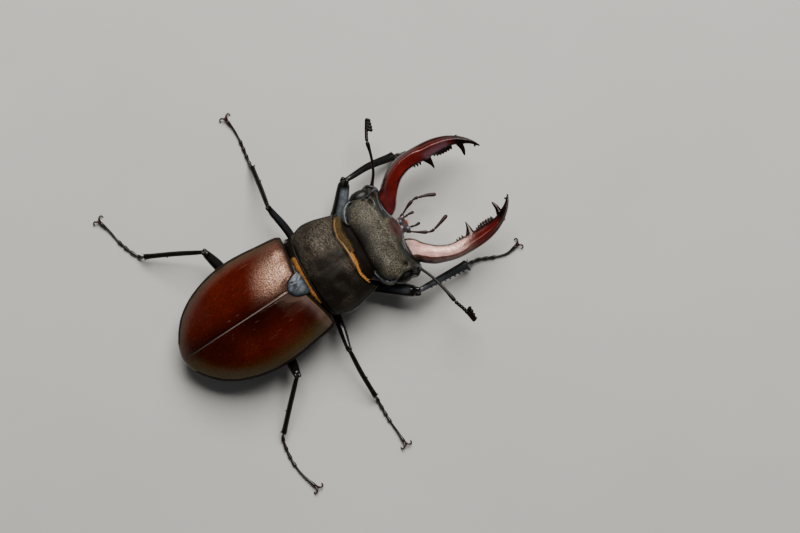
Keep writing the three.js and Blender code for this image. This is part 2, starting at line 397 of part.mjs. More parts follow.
const jawParts = [
  jawBody,
  jawTooth([8.3, -55.2], [5.45, -56.12], 1.12, [0, 0.05, 0], 7),
  jawTooth([7.9, -61.7], [4.74, -62.0], 0.72, [0, 0.15, 0], 6),
];
for (const [x, y, s] of [[7.2, -52.9, 0.3], [7.05, -53.7, 0.3], [7.15, -57.6, 0.3], [7.12, -58.35, 0.32], [7.1, -59.1, 0.32], [7.0, -59.85, 0.3], [6.9, -60.55, 0.28]])
  jawParts.push(spike([x + 0.7, y, jawZ(0.6)], [x, y, jawZ(0.6)], s, 3));
const jaw = join(jawParts);
put('mandible_left', turn(jaw, HEAD_SHIFT), 'jaw');
put('mandible_right', turn(flip(jaw), HEAD_SHIFT), 'jaw');

// ---------------------------------------------------------------- mouth parts
put('labrum', turn(pillow(4, 3, (u, v, side) => {
  const q = V((2 * u - 1) * (1.15 - 0.25 * v), -46.75 - 0.95 * v + 0.25 * Math.pow(2 * u - 1, 2) * v);
  q.z = 7.75 - 0.35 * v + side * (0.12 + 0.3 * dome(2 * u - 1, 2, 2) * dome(2 * v - 1, 2.5, 2));
  return q;
}), HEAD_SHIFT), 'dark');
const PALPS = {
  maxillary_palp_left: [[1.35, -46.9, 6.3], [2.04, -48.15, 6.25], [2.82, -49.7, 6.3], [2.66, -50.97, 6.25], [2.3, -52.3, 6.15], [1.45, -54.15, 6.0]],
  maxillary_palp_right: [[-1.4, -46.9, 6.3], [-2.67, -48.1, 6.25], [-3.68, -50.1, 6.3], [-3.6, -50.95, 6.25], [-3.4, -51.8, 6.15], [-2.7, -53.8, 6.0]],
  labial_palp_left: [[0.8, -47.1, 5.6], [1.12, -48.2, 5.5], [0.8, -49.25, 5.4]],
  labial_palp_right: [[-0.85, -47.1, 5.6], [-1.5, -48.1, 5.5], [-1.46, -49.2, 5.4]],
};
for (const [name, path] of Object.entries(PALPS)) {
  const long = name.startsWith('max');
  put(name, turn(rod(path, long ? [[0, 0.3], [0.2, 0.27], [0.4, 0.32], [0.55, 0.27], [0.8, 0.34], [0.93, 0.4], [1, 0.36]] : [[0, 0.26], [0.6, 0.28], [1, 0.34]], long ? 7 : 4, 5), HEAD_SHIFT), 'brown');
}

// ---------------------------------------------------------------- antennae: long scape, elbow, short joints, four-leaved club
function antenna(side, scape, stalk, leafDir) {
  const elbow = scape[scape.length - 1];
  put('antenna_scape_' + side, rod(scape, [[0, 0.28], [0.1, 0.26], [0.75, 0.28], [1, 0.46]], 5, 5), 'brown');
  const path = new THREE.CatmullRomCurve3(stalk.map((q) => V(...q)), false, 'catmullrom', 0.5);
  const parts = [rod(stalk, [[0, 0.27], [0.5, 0.26], [1, 0.27]], 4, 5)];
  for (let i = 0; i < 4; i++) {
    const p = path.getPointAt(0.55 + 0.42 * i / 3).toArray(), len = [1.35, 1.3, 1.2, 1.05][i];
    const q = p.map((v, k) => v + leafDir[k] * len);
    parts.push(limb([p, lerp3(p, q, 0.5), q], [[0, 0.26, 0.34], [1, 0.25, 0.36]], 4));
  }
  put('antenna_club_' + side, join(parts), 'brown');
}
antenna('left',
  [[8.15, -45.7, 7.9], [9.7, -46.95, 8.35], [12.1, -48.1, 8.9], [14.5, -48.85, 9.1]],
  [[15.2, -49.15, 9.05], [16.1, -49.65, 8.9], [17.2, -50.35, 8.7], [18.3, -51.05, 8.6]], unit([-0.8, -0.64, 0.0]));
antenna('right',
  [[-9.3, -44.75, 7.9], [-11.6, -45.6, 8.45], [-14.8, -46.3, 8.9], [-17.05, -46.6, 9.1]],
  [[-17.8, -46.75, 9.05], [-19.1, -47.15, 8.9], [-20.6, -47.45, 8.7], [-22.3, -47.6, 8.6]], unit([0.4, -0.92, 0.0]));

// ---------------------------------------------------------------- middle of the footprint to the origin
const box = new THREE.Box3().setFromObject(group);
const mid = box.getCenter(V(0, 0));
group.children.forEach((m) => m.geometry.translate(-mid.x, -mid.y, -box.min.z));
export default group;
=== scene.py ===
import math
import bpy
import numpy as np
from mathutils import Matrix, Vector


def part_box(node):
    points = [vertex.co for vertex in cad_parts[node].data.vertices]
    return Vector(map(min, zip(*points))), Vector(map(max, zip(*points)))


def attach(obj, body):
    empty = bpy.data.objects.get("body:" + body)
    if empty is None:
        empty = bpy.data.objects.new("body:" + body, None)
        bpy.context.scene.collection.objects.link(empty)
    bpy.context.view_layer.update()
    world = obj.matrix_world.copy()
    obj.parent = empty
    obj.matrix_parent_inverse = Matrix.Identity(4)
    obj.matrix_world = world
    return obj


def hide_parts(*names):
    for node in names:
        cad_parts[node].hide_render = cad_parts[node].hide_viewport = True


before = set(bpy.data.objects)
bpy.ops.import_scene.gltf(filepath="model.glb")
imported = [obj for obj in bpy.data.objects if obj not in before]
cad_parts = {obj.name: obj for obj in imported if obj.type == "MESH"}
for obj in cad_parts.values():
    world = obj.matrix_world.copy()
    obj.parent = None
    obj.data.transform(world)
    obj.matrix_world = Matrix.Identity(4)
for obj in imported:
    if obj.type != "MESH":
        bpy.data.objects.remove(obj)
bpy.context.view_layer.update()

_lo, _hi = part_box("elytron_left")
OFF = np.array([0.12 - _lo.x * 1000, -0.1 - _hi.y * 1000, 0.0])     # body frame minus row frame, mm
rng = np.random.default_rng(7)

# ------------------------------------------------------------------ dimensions shared with the CAD part
SHELL, SUTURE_GAP = 0.8, 0.12
HEAD_YAW, PIVOT = math.radians(-3.0), np.array([0.0, -27.0])
PRONOTUM_SHIFT, HEAD_SHIFT = 0.1, 0.4
W, ELYTRA_TOP, ELYTRA_EDGE = 10.6, 13.94, 7.4
BELLY, CHEST = 3.1, 3.3
PRONOTUM_TOP, HEAD_TOP, HEAD_BOTTOM = 13.1, 12.3, 5.7
MANDIBLE_Z, MANDIBLE_H = 8.7, 1.9
EYE_AT, EYE_R = np.array([7.75, -42.1, 9.1]), np.array([1.0, 1.55, 1.25])
KNEE = {"fore": 7.2, "mid": 7.0, "hind": 7.2}


# ------------------------------------------------------------------ small maths
def keys(table):
    t = np.array(table, float)
    X, Y = t[:, 0], t[:, 1]
    n = len(X)
    S = np.array([(Y[min(n - 1, i + 1)] - Y[max(0, i - 1)]) / (X[min(n - 1, i + 1)] - X[max(0, i - 1)]) for i in range(n)])

    def f(x):
        x = np.clip(np.asarray(x, float), X[0], X[-1])
        i = np.clip(np.searchsorted(X, x, side="left") - 1, 0, n - 2)
        h = X[i + 1] - X[i]
        s = (x - X[i]) / h
        s2, s3 = s * s, s * s * s
        return (2 * s3 - 3 * s2 + 1) * Y[i] + (s3 - 2 * s2 + s) * h * S[i] + (-2 * s3 + 3 * s2) * Y[i + 1] + (s3 - s2) * h * S[i + 1]

    return f


def smooth(a, b, x):
    t = np.clip((np.asarray(x, float) - a) / (b - a), 0, 1)
    return t * t * (3 - 2 * t)


def dome(x, p, q):
    return np.power(np.maximum(0, 1 - np.power(np.minimum(1, np.abs(x)), p)), 1 / q)


def bell(d, w):
    return np.exp(-np.square(np.asarray(d, float) / w))


class Curve:
    """Catmull-Rom curve through points, read by arc length."""

    def __init__(self, pts):
        self.P = np.array([list(p) + [0.0] * (3 - len(p)) for p in pts], float)
        P = self.P
        self.E = np.vstack([2 * P[0] - P[1], P, 2 * P[-1] - P[-2]])
        q = self.raw(np.linspace(0, 1, 401))
        self.S = np.concatenate([[0], np.cumsum(np.linalg.norm(np.diff(q, axis=0), axis=1))])
        self.length = self.S[-1]

    def raw(self, t):
        t = np.asarray(t, float)
        n = len(self.P)
        s = np.clip(t, 0, 1) * (n - 1)
        i = np.clip(np.floor(s).astype(int), 0, n - 2)
        w = (s - i)[..., None]
        p0, p1, p2, p3 = self.E[i], self.E[i + 1], self.E[i + 2], self.E[i + 3]
        t0, t1 = 0.5 * (p2 - p0), 0.5 * (p3 - p1)
        return p1 + t0 * w + (-3 * p1 + 3 * p2 - 2 * t0 - t1) * w ** 2 + (2 * p1 - 2 * p2 + t0 + t1) * w ** 3

    def at(self, t):
        return self.raw(np.interp(np.clip(t, 0, 1) * self.length, self.S, np.linspace(0, 1, 401)))

    def tangent(self, t):
        t = np.asarray(t, float)
        d = self.at(np.clip(t + 1e-3, 0, 1)) - self.at(np.clip(t - 1e-3, 0, 1))
        return d / np.linalg.norm(d, axis=-1, keepdims=True)


def patch(front, rear, start, end):
    f, r, s, e = Curve(front), Curve(rear), Curve(start), Curve(end)
    p00, p10, p01, p11 = f.at(0), f.at(1), r.at(0), r.at(1)

    def g(u, v):
        U, V = u[..., None], v[..., None]
        return ((1 - V) * f.at(u) + V * r.at(u) + (1 - U) * s.at(v) + U * e.at(v)
                - (1 - U) * (1 - V) * p00 - U * (1 - V) * p10 - (1 - U) * V * p01 - U * V * p11)

    return g


def mirror(pts):
    return [[-p[0], *p[1:]] for p in pts]


def across(half):
    return mirror(half)[::-1] + half[(1 if half[0][0] == 0 else 0):]


even = lambda t: 0.5 - 0.5 * np.cos(np.pi * t)
one_end = lambda t: np.sin(0.5 * np.pi * t)
plain = lambda t: t
A = lambda p: np.array(p, float)


# ------------------------------------------------------------------ meshes: (vertices, quads, triangles)
def volume(V, Q, T):
    tri = [T] if len(T) else []
    if len(Q):
        tri += [Q[:, [0, 1, 2]], Q[:, [0, 2, 3]]]
    t = np.vstack(tri)
    return np.einsum("ij,ij->i", V[t[:, 0]], np.cross(V[t[:, 1]], V[t[:, 2]])).sum() / 6


def facing(V, Q, T):
    if volume(V, Q, T) < 0:
        Q, T = Q[:, ::-1], T[:, ::-1]
    return V, Q, T


def join(parts):
    Vs, Qs, Ts, n = [], [], [], 0
    for V, Q, T in parts:
        Vs.append(V)
        if len(Q):
            Qs.append(Q + n)
        if len(T):
            Ts.append(T + n)
        n += len(V)
    return np.vstack(Vs), (np.vstack(Qs) if Qs else np.zeros((0, 4), int)), (np.vstack(Ts) if Ts else np.zeros((0, 3), int))


def pillow(nu, nv, sheet, wu=even, wv=even, rim=3, bead=0.0):
    """Top and bottom sheets over one plan, joined by a rounded rim that stands out by bead."""
    u, v = np.meshgrid(wu(np.linspace(0, 1, nu + 1)), wv(np.linspace(0, 1, nv + 1)))
    top, bot = sheet(u, v, 1), sheet(u, v, -1)
    I = np.arange((nu + 1) * (nv + 1)).reshape(nv + 1, nu + 1)
    quad = np.stack([I[:-1, :-1], I[:-1, 1:], I[1:, 1:], I[1:, :-1]], -1).reshape(-1, 4)
    N = I.size
    loop = np.concatenate([I[0, :-1], I[:-1, -1], I[-1, :0:-1], I[:0:-1, 0]])
    V = [top.reshape(-1, 3), bot.reshape(-1, 3)]
    Q = [quad, (quad + N)[:, ::-1]]
    a, b = V[0][loop], V[1][loop]
    t = np.roll(a, -1, 0) - np.roll(a, 1, 0)
    out = np.stack([t[:, 1], -t[:, 0], np.zeros(len(t))], -1)
    out /= np.linalg.norm(out, axis=1, keepdims=True) + 1e-12
    area = 0.5 * np.sum(a[:, 0] * np.roll(a[:, 1], -1) - np.roll(a[:, 0], -1) * a[:, 1])
    if area < 0:
        out = -out
    rings, n = [loop], 2 * N
    for k in range(1, rim + 1):
        s = k / (rim + 1)
        V.append(a + (b - a) * s + out * bead * math.sin(math.pi * s))
        rings.append(np.arange(n, n + len(loop)))
        n += len(loop)
    rings.append(loop + N)
    for r0, r1 in zip(rings[:-1], rings[1:]):
        Q.append(np.stack([r0, r1, np.roll(r1, -1), np.roll(r0, -1)], -1))
    return facing(np.vstack(V), np.vstack(Q), np.zeros((0, 3), int))


def tube(path, ts, ra, rb, sides=24, ref=(0, 0, 1), section=None, twist=0.0):
    """Closed member along a path; ra is the half-thickness sideways, rb along the rise direction."""
    c = path if isinstance(path, Curve) else Curve(path)
    ts = np.asarray(ts, float)
    P, D = c.at(ts), c.tangent(ts)
    side = np.cross(D, np.array(ref, float))
    side /= np.linalg.norm(side, axis=1, keepdims=True)
    rise = np.cross(side, D)
    phi = np.linspace(0, 2 * np.pi, sides, endpoint=False) + twist
    k = np.ones((len(ts), sides)) if section is None else section(phi[None, :], ts[:, None])
    R = P[:, None, :] + side[:, None, :] * (np.cos(phi)[None, :] * ra[:, None] * k)[..., None] + rise[:, None, :] * (np.sin(phi)[None, :] * rb[:, None] * k)[..., None]
    n = len(ts)
    V = np.vstack([R.reshape(-1, 3), P[:1], P[-1:]])
    I = np.arange(n * sides).reshape(n, sides)
    J = np.roll(I, -1, 1)
    Q = np.stack([I[:-1], J[:-1], J[1:], I[1:]], -1).reshape(-1, 4)
    T = np.vstack([np.stack([np.full(sides, n * sides), J[0], I[0]], -1), np.stack([np.full(sides, n * sides + 1), I[-1], J[-1]], -1)])
    return facing(V, Q, T)


def rod(path, radii, n=40, sides=24, ref=(0, 0, 1), flat=1.0, ends=(0.5, 0.5), section=None):
    """Member with rounded ends, radius from keys along its length."""
    c = path if isinstance(path, Curve) else Curve(path)
    i = np.arange(n + 1)
    t = 0.5 - 0.5 * np.cos(np.pi * (i + 0.12) / (n + 0.24))
    R = keys(radii)(t)
    L = c.length
    d0, d1 = np.minimum(1, t * L / (R * ends[0])), np.minimum(1, (1 - t) * L / (R * ends[1]))
    cap = np.sqrt(np.clip(1 - (1 - d0) ** 2, 0, 1)) * np.sqrt(np.clip(1 - (1 - d1) ** 2, 0, 1))
    fl = keys(flat)(t) if isinstance(flat, list) else flat
    return tube(c, t, R * cap, R * cap * fl, sides, ref, section)


def cone(a, b, r, tip=0.12, n=10, sides=12, bend=(0, 0, 0), flat=1.0, power=0.8, ref=(0, 0, 1)):
    a, b = np.array(a, float), np.array(b, float)
    c = Curve([a, (a + b) / 2 + np.array(bend, float), b])
    t = np.linspace(0, 1, n + 1)
    R = r * (tip + (1 - tip) * np.power(1 - t, power))
    R[-1] *= 0.5
    return tube(c, t, R, R * flat, sides, ref)


def ball(at, r, w=32, h=20):
    th, ph = np.linspace(0, np.pi, h + 1)[1:-1], np.linspace(0, 2 * np.pi, w, endpoint=False)
    T, P = np.meshgrid(th, ph, indexing="ij")
    V = np.stack([np.sin(T) * np.cos(P), np.sin(T) * np.sin(P), np.cos(T)], -1).reshape(-1, 3)
    V = np.vstack([V, [[0, 0, 1], [0, 0, -1]]])
    I = np.arange((h - 1) * w).reshape(h - 1, w)
    J = np.roll(I, -1, 1)
    Q = np.stack([I[:-1], I[1:], J[1:], J[:-1]], -1).reshape(-1, 4)
    n = (h - 1) * w
    Tt = np.vstack([np.stack([np.full(w, n), I[0], J[0]], -1), np.stack([np.full(w, n + 1), J[-1], I[-1]], -1)])
    return facing(V * np.array(r) + np.array(at), Q, Tt)


def flip(m):
    V, Q, T = m
    return facing(V * np.array([-1, 1, 1]), Q, T)


def turned(V, shift):
    x, y = V[:, 0] + shift - PIVOT[0], V[:, 1] - PIVOT[1]
    c, s = math.cos(HEAD_YAW), math.sin(HEAD_YAW)
    return np.stack([x * c - y * s + PIVOT[0], x * s + y * c + PIVOT[1], V[:, 2]], -1)


def turn(m, shift):
    return turned(m[0], shift), m[1], m[2]


def to_mesh(name, m):
    V, Q, T = m
    me = bpy.data.meshes.new(name)
    nq, nt = len(Q), len(T)
    me.vertices.add(len(V))
    me.vertices.foreach_set("co", np.asarray(V, np.float32).ravel())
    me.loops.add(4 * nq + 3 * nt)
    me.loops.foreach_set("vertex_index", np.concatenate([Q.ravel(), T.ravel()]).astype(np.int32))
    me.polygons.add(nq + nt)
    start = np.concatenate([np.arange(nq) * 4, 4 * nq + np.arange(nt) * 3])
    me.polygons.foreach_set("loop_start", start.astype(np.int32))
    me.update(calc_edges=True)
    me.validate()
    return me


def from_mesh(me):
    V = np.zeros(len(me.vertices) * 3, np.float32)
    me.vertices.foreach_get("co", V)
    n = len(me.polygons)
    start, total = np.zeros(n, np.int32), np.zeros(n, np.int32)
    me.polygons.foreach_get("loop_start", start)
    me.polygons.foreach_get("loop_total", total)
    idx = np.zeros(len(me.loops), np.int32)
    me.loops.foreach_get("vertex_index", idx)
    q, t = start[total == 4], start[total == 3]
    Q = idx[q[:, None] + np.arange(4)] if len(q) else np.zeros((0, 4), int)
    T = idx[t[:, None] + np.arange(3)] if len(t) else np.zeros((0, 3), int)
    return V.reshape(-1, 3).astype(float), Q.astype(int), T.astype(int)


def blended(m, voxel, steps=3, factor=0.5):
    """Fuses crossing closed shapes into one skin and softens the joins. Works in millimetres."""
    me = to_mesh("tmp", m)
    o = bpy.data.objects.new("tmp", me)
    bpy.context.scene.collection.objects.link(o)
    r = o.modifiers.new("r", "REMESH")
    r.mode, r.voxel_size, r.adaptivity = "VOXEL", voxel, 0.0
    if steps:
        s = o.modifiers.new("s", "SMOOTH")
        s.iterations, s.factor = steps, factor
    bpy.context.view_layer.update()
    out = bpy.data.meshes.new_from_object(o.evaluated_get(bpy.context.evaluated_depsgraph_get()))
    bpy.data.objects.remove(o)
    r = from_mesh(out)
    bpy.data.meshes.remove(out)
    bpy.data.meshes.remove(me)
    return facing(*r)


def normals(m):
    V, Q, T = m
    N = np.zeros_like(V)
    if len(Q):
        n = np.cross(V[Q[:, 2]] - V[Q[:, 0]], V[Q[:, 3]] - V[Q[:, 1]])
        for k in range(4):
            np.add.at(N, Q[:, k], n)
    if len(T):
        n = np.cross(V[T[:, 1]] - V[T[:, 0]], V[T[:, 2]] - V[T[:, 0]])
        for k in range(3):
            np.add.at(N, T[:, k], n)
    return N / (np.linalg.norm(N, axis=1, keepdims=True) + 1e-12)


PIECES = []


def piece(name, m, material, nodes=(), attrs=None, shade=True):
    V, Q, T = m
    me = to_mesh(name, ((V - OFF) / 1000.0, Q, T))
    if shade:
        me.polygons.foreach_set("use_smooth", np.ones(len(me.polygons), bool))
    for key, val in (attrs or {}).items():
        a = me.attributes.new(key, "FLOAT", "POINT")
        a.data.foreach_set("value", np.asarray(np.broadcast_to(val, len(V)), np.float32))
    me.materials.append(material)
    o = bpy.data.objects.new(name, me)
    bpy.context.scene.collection.objects.link(o)
    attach(o, "root")
    if nodes:
        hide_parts(*([nodes] if isinstance(nodes, str) else nodes))
    PIECES.append(o)
    return o


# ------------------------------------------------------------------ materials
class Nodes:
    """Short hand for building one procedural material."""

    def __init__(self, name):
        self.mat = bpy.data.materials.new(name)
        self.mat.use_nodes = True
        self.t = self.mat.node_tree
        self.t.nodes.clear()
        self.out = self.t.nodes.new("ShaderNodeOutputMaterial")
        self.b = self.t.nodes.new("ShaderNodeBsdfPrincipled")
        self.t.links.new(self.b.outputs[0], self.out.inputs[0])
        tc = self.t.nodes.new("ShaderNodeTexCoord")
        mp = self.t.nodes.new("ShaderNodeMapping")
        mp.inputs["Scale"].default_value = (1000, 1000, 1000)
        self.t.links.new(tc.outputs["Object"], mp.inputs["Vector"])
        self.mm = mp.outputs[0]

    def put(self, sock, val):
        if isinstance(val, bpy.types.NodeSocket):
            self.t.links.new(val, sock)
        elif isinstance(val, (tuple, list)) and len(val) == 3 and sock.type == "RGBA":
            sock.default_value = (*val, 1)
        else:
            sock.default_value = val

    def noise(self, scale, detail=4, rough=0.55, dist=0.0, vec=None):
        n = self.t.nodes.new("ShaderNodeTexNoise")
        self.put(n.inputs["Vector"], vec or self.mm)
        n.inputs["Scale"].default_value = scale
        n.inputs["Detail"].default_value = detail
        n.inputs["Roughness"].default_value = rough
        n.inputs["Distortion"].default_value = dist
        return n.outputs[0]

    def cells(self, scale, feature="F1", rand=1.0, vec=None, smoothness=None):
        n = self.t.nodes.new("ShaderNodeTexVoronoi")
        n.feature = feature
        self.put(n.inputs["Vector"], vec or self.mm)
        n.inputs["Scale"].default_value = scale
        n.inputs["Randomness"].default_value = rand
        if smoothness is not None:
            n.inputs["Smoothness"].default_value = smoothness
        return n.outputs["Distance"]

    def stretch(self, s):
        mp = self.t.nodes.new("ShaderNodeMapping")
        mp.inputs["Scale"].default_value = s
        self.t.links.new(self.mm, mp.inputs["Vector"])
        return mp.outputs[0]

    def attr(self, name):
        a = self.t.nodes.new("ShaderNodeAttribute")
        a.attribute_name = name
        return a.outputs["Fac"]

    def ramp(self, fac, stops, interp="LINEAR"):
        r = self.t.nodes.new("ShaderNodeValToRGB")
        r.color_ramp.interpolation = interp
        e = r.color_ramp.elements
        while len(e) < len(stops):
            e.new(0.5)
        for k, (p, c) in enumerate(stops):
            e[k].position = p
            e[k].color = (*c, 1) if isinstance(c, (tuple, list)) else (c, c, c, 1)
        self.put(r.inputs[0], fac)
        return r.outputs[0]

    def mix(self, fac, a, b, mode="MIX"):
        m = self.t.nodes.new("ShaderNodeMix")
        m.data_type, m.blend_type = "RGBA", mode
        self.put(m.inputs[0], fac)
        self.put(m.inputs[6], a)
        self.put(m.inputs[7], b)
        return m.outputs[2]

    def math(self, op, a, b=0.0, c=None, clamp=False):
        m = self.t.nodes.new("ShaderNodeMath")
        m.operation, m.use_clamp = op, clamp
        self.put(m.inputs[0], a)
        self.put(m.inputs[1], b)
        if c is not None:
            self.put(m.inputs[2], c)
        return m.outputs[0]

    def span(self, x, a, b, c=0.0, d=1.0):
        m = self.t.nodes.new("ShaderNodeMapRange")
        m.clamp = True
        for k, v in enumerate((x, a, b, c, d)):
            self.put(m.inputs[k], v)
        return m.outputs[0]

    def bump(self, height, microns, strength=1.0, normal=None):
        b = self.t.nodes.new("ShaderNodeBump")
        self.put(b.inputs["Strength"], strength)
        b.inputs["Distance"].default_value = microns * 1e-6
        self.put(b.inputs["Height"], height)
        if normal is not None:
            self.put(b.inputs["Normal"], normal)
        return b.outputs[0]

    def done(self, color=None, rough=None, normal=None, **fixed):
        if color is not None:
            self.put(self.b.inputs["Base Color"], color)
        if rough is not None:
            self.put(self.b.inputs["Roughness"], rough)
        if normal is not None:
            self.put(self.b.inputs["Normal"], normal)
        for k, v in fixed.items():
            self.put(self.b.inputs[k.replace("_", " ")], v)
        return self.mat


def wing_material(olive, gloss_level, tint):
    """Dark red-brown shell: nearly black along the middle, an olive margin that is a painted reflection of the
    surroundings, a pale line along the suture that is a painted highlight, a painted highlight patch (peach colour and
    metallic) and painted shade near the front edge.
    """
    n = Nodes("wing_case_shell")
    big, fine, grain = n.noise(0.16, 4), n.noise(2.4, 5), n.noise(3.6, 4, 0.66)
    mid, edge, seam_highlight_and_veil, painted_sheen, satin, shade = (n.attr(k) for k in ("mid", "edge", "seam_highlight_and_veil", "painted_sheen", "satin", "shade"))
    red = n.ramp(big, [(0.30, (0.062, 0.0036, 0.0006)), (0.5, (0.082, 0.0054, 0.0007)), (0.72, (0.104, 0.0086, 0.0009))])
    dark = (0.0080, 0.0009, 0.0004)
    c = n.mix(n.span(mid, 0.15, 1.0, 0.0, 0.94), red, dark)
    # olive round the margin: painted reflection of the surroundings
    c = n.mix(n.span(edge, 0.05, 0.8, 0.0, 0.90), c, olive)
    c = n.mix(n.span(edge, 0.90, 0.97, 0.0, 1.0), c, (0.0022, 0.0014, 0.0008))
    c = n.mix(n.span(fine, 0.38, 0.68, 0.0, 0.50), c, (0.009, 0.0015, 0.0006))
    # painted highlight: over the sheen mask the colour turns peach and metallic
    highlight_polish = n.math("MULTIPLY", n.span(grain, 0.42, 0.60, 0.25, 1.0), painted_sheen)
    c = n.mix(highlight_polish, c, (0.310, 0.196, 0.136))
    c = n.mix(n.span(grain, 0.60, 0.74, 0.0, 0.16), c, (0.15, 0.036, 0.012))
    # painted shade
    c = n.mix(shade, c, (0.0125, 0.0048, 0.0040))
    dust_and_sheen = n.cells(1.35, "F1", 1.0)
    c = n.mix(n.span(dust_and_sheen, 0.030, 0.065, 0.55, 0.0), c, (0.42, 0.33, 0.26))
    scratch = n.noise(1.0, 2, 0.4, 0.0, n.stretch((7.0, 0.22, 3.0)))
    c = n.mix(n.span(scratch, 0.715, 0.745, 0.0, 0.35), c, (0.30, 0.18, 0.13))
    # pale line at the suture: painted highlight; on the right wing case also a painted reflection along the front
    c = n.mix(seam_highlight_and_veil, c, (0.26, 0.19, 0.175))
    pits = n.cells(3.6, "SMOOTH_F1", 1.0, smoothness=0.4)
    rougher = n.span(painted_sheen, 0.0, 0.6, 0.30, 1.0)
    b = n.bump(n.noise(3.2, 3, 0.6), 62, rougher)
    b = n.bump(grain, 50, rougher, b)
    b = n.bump(n.ramp(pits, [(0.0, 0.0), (0.28, 0.85), (1.0, 1.0)]), 14, 0.8, b)
    b = n.bump(n.noise(0.9, 3), 22, 0.6, b)
    rough = n.math("ADD", n.span(grain, 0.3, 0.7, 0.13, 0.21), n.span(scratch, 0.66, 0.74, 0.0, 0.12))
    rough = n.math("ADD", rough, n.math("ADD", n.span(painted_sheen, 0.0, 0.5, 0.0, 0.09), n.math("MULTIPLY", satin, 0.38)))
    rough = n.math("ADD", rough, n.span(edge, 0.15, 0.75, 0.0, 0.36))
    rough = n.math("ADD", rough, n.span(edge, 0.86, 0.96, 0.0, 0.36))
    return n.done(c, rough, b, Specular_IOR_Level=gloss_level, Specular_Tint=tint, Coat_Weight=0.0, Metallic=n.math("MULTIPLY", highlight_polish, 0.80))


def pronotum_material():
    """Dull brown-black shell with golden-grey speckle; attributes: plain is the smooth rim, lip its pale front line,
    which is a painted rim highlight, and lit a painted light map that shows the pale, partly metallic grains only where
    light falls.
    """
    n = Nodes("pronotum_shell")
    p, lit, lip = n.attr("plain"), n.attr("lit"), n.attr("lip")
    speck, fine = n.cells(3.6, "SMOOTH_F1", 1.0, smoothness=0.3), n.noise(9.0, 3, 0.6)
    grain = n.math("ADD", n.math("MULTIPLY", n.noise(4.7, 4, 0.68), 0.60), n.math("MULTIPLY", n.noise(4.2, 4, 0.62, 0.4, n.stretch((0.28, 1.0, 0.6))), 0.40))
    c = n.ramp(n.noise(0.5, 4), [(0.32, (0.0022, 0.0014, 0.0006)), (0.68, (0.0056, 0.0037, 0.0018))])
    pale = n.mix(n.noise(1.3, 2), (0.255, 0.195, 0.130), (0.175, 0.152, 0.126))
    # pale grains only where the painted light map is bright
    grains = n.math("MULTIPLY", n.span(grain, 0.46, 0.60, 0.0, 1.0), n.span(lit, 0.0, 1.0, 0.0, 0.84))
    c = n.mix(grains, c, pale)
    c = n.mix(n.span(speck, 0.08, 0.32, 0.35, 1.0), (0.0032, 0.0021, 0.0011), c)
    c = n.mix(p, c, (0.0046, 0.0032, 0.0022))
    c = n.mix(lip, c, (0.42, 0.235, 0.095))
    keep = n.span(p, 0.0, 1.0, 1.0, 0.15)
    b = n.bump(grain, 85, keep)
    b = n.bump(n.ramp(speck, [(0.0, 0.0), (0.35, 0.8), (1.0, 1.0)]), 42, keep, b)
    b = n.bump(fine, 9, 0.6, b)
    b = n.bump(n.noise(0.8, 3), 90, 0.7, b)
    r = n.math("ADD", n.span(grain, 0.3, 0.7, 0.46, 0.60), n.span(p, 0.0, 1.0, 0.0, -0.16))
    return n.done(c, r, b, Specular_IOR_Level=0.26, Specular_Tint=(1.0, 0.90, 0.78), Metallic=n.math("MULTIPLY", grains, 0.40))


def head_material():
    """Pale granules on dark grey-brown; attributes plain, slate, red, rim and pit mark the smooth fields; the rim field
    is a painted highlight, the pit field dark pits and painted shade.
    """
    n = Nodes("head_shell")
    p, slate, red, rim, pit_and_shade = (n.attr(k) for k in ("plain", "slate", "red", "rim", "pit_and_shade"))
    gran, grain, fine = n.cells(4.0, "SMOOTH_F1", 1.0, smoothness=0.3), n.noise(4.9, 4, 0.68), n.noise(8.5, 3, 0.6)
    broad = n.noise(0.45, 4, 0.6)
    low = n.mix(broad, (0.0085, 0.0070, 0.0036), (0.021, 0.0180, 0.0112))
    top = n.mix(n.span(broad, 0.35, 0.65), (0.110, 0.092, 0.054), (0.265, 0.232, 0.168))
    grains = n.span(grain, 0.44, 0.61, 0.0, 1.0)
    c = n.mix(grains, low, top)
    c = n.mix(n.span(gran, 0.08, 0.32, 0.65, 0.0), c, (0.0085, 0.0066, 0.0038))
    c = n.mix(slate, c, n.mix(n.span(fine, 0.35, 0.65), (0.0110, 0.0135, 0.0120), (0.030, 0.034, 0.031)))
    c = n.mix(p, c, (0.0088, 0.0102, 0.0104))
    # painted highlight on the rims
    c = n.mix(rim, c, (0.18, 0.205, 0.225))
    c = n.mix(red, c, n.mix(n.span(n.noise(1.5, 4, 0.65), 0.36, 0.62), (0.086, 0.0180, 0.0155), (0.026, 0.0110, 0.0110)))
    # dark pits and painted shade
    c = n.mix(pit_and_shade, c, (0.0018, 0.0013, 0.0009))
    smooth_part = n.math("MAXIMUM", n.math("MAXIMUM", p, slate), n.math("MAXIMUM", red, rim))
    keep = n.span(smooth_part, 0.0, 1.0, 1.0, 0.20)
    b = n.bump(grain, 90, keep)
    b = n.bump(n.ramp(gran, [(0.0, 0.0), (0.35, 0.85), (1.0, 1.0)]), 42, keep, b)
    b = n.bump(fine, 8, 0.6, b)
    b = n.bump(n.noise(0.8, 3), 60, 0.6, b)
    r = n.math("ADD", n.span(grain, 0.3, 0.7, 0.42, 0.56), n.span(smooth_part, 0.0, 1.0, 0.0, -0.18))
    lustre = n.math("MULTIPLY", n.math("MULTIPLY", grains, 0.30), n.math("MULTIPLY", n.span(smooth_part, 0.0, 1.0, 1.0, 0.0), n.span(pit_and_shade, 0.0, 1.0, 1.0, 0.0)))
    return n.done(c, r, b, Specular_IOR_Level=0.38, Metallic=lustre)


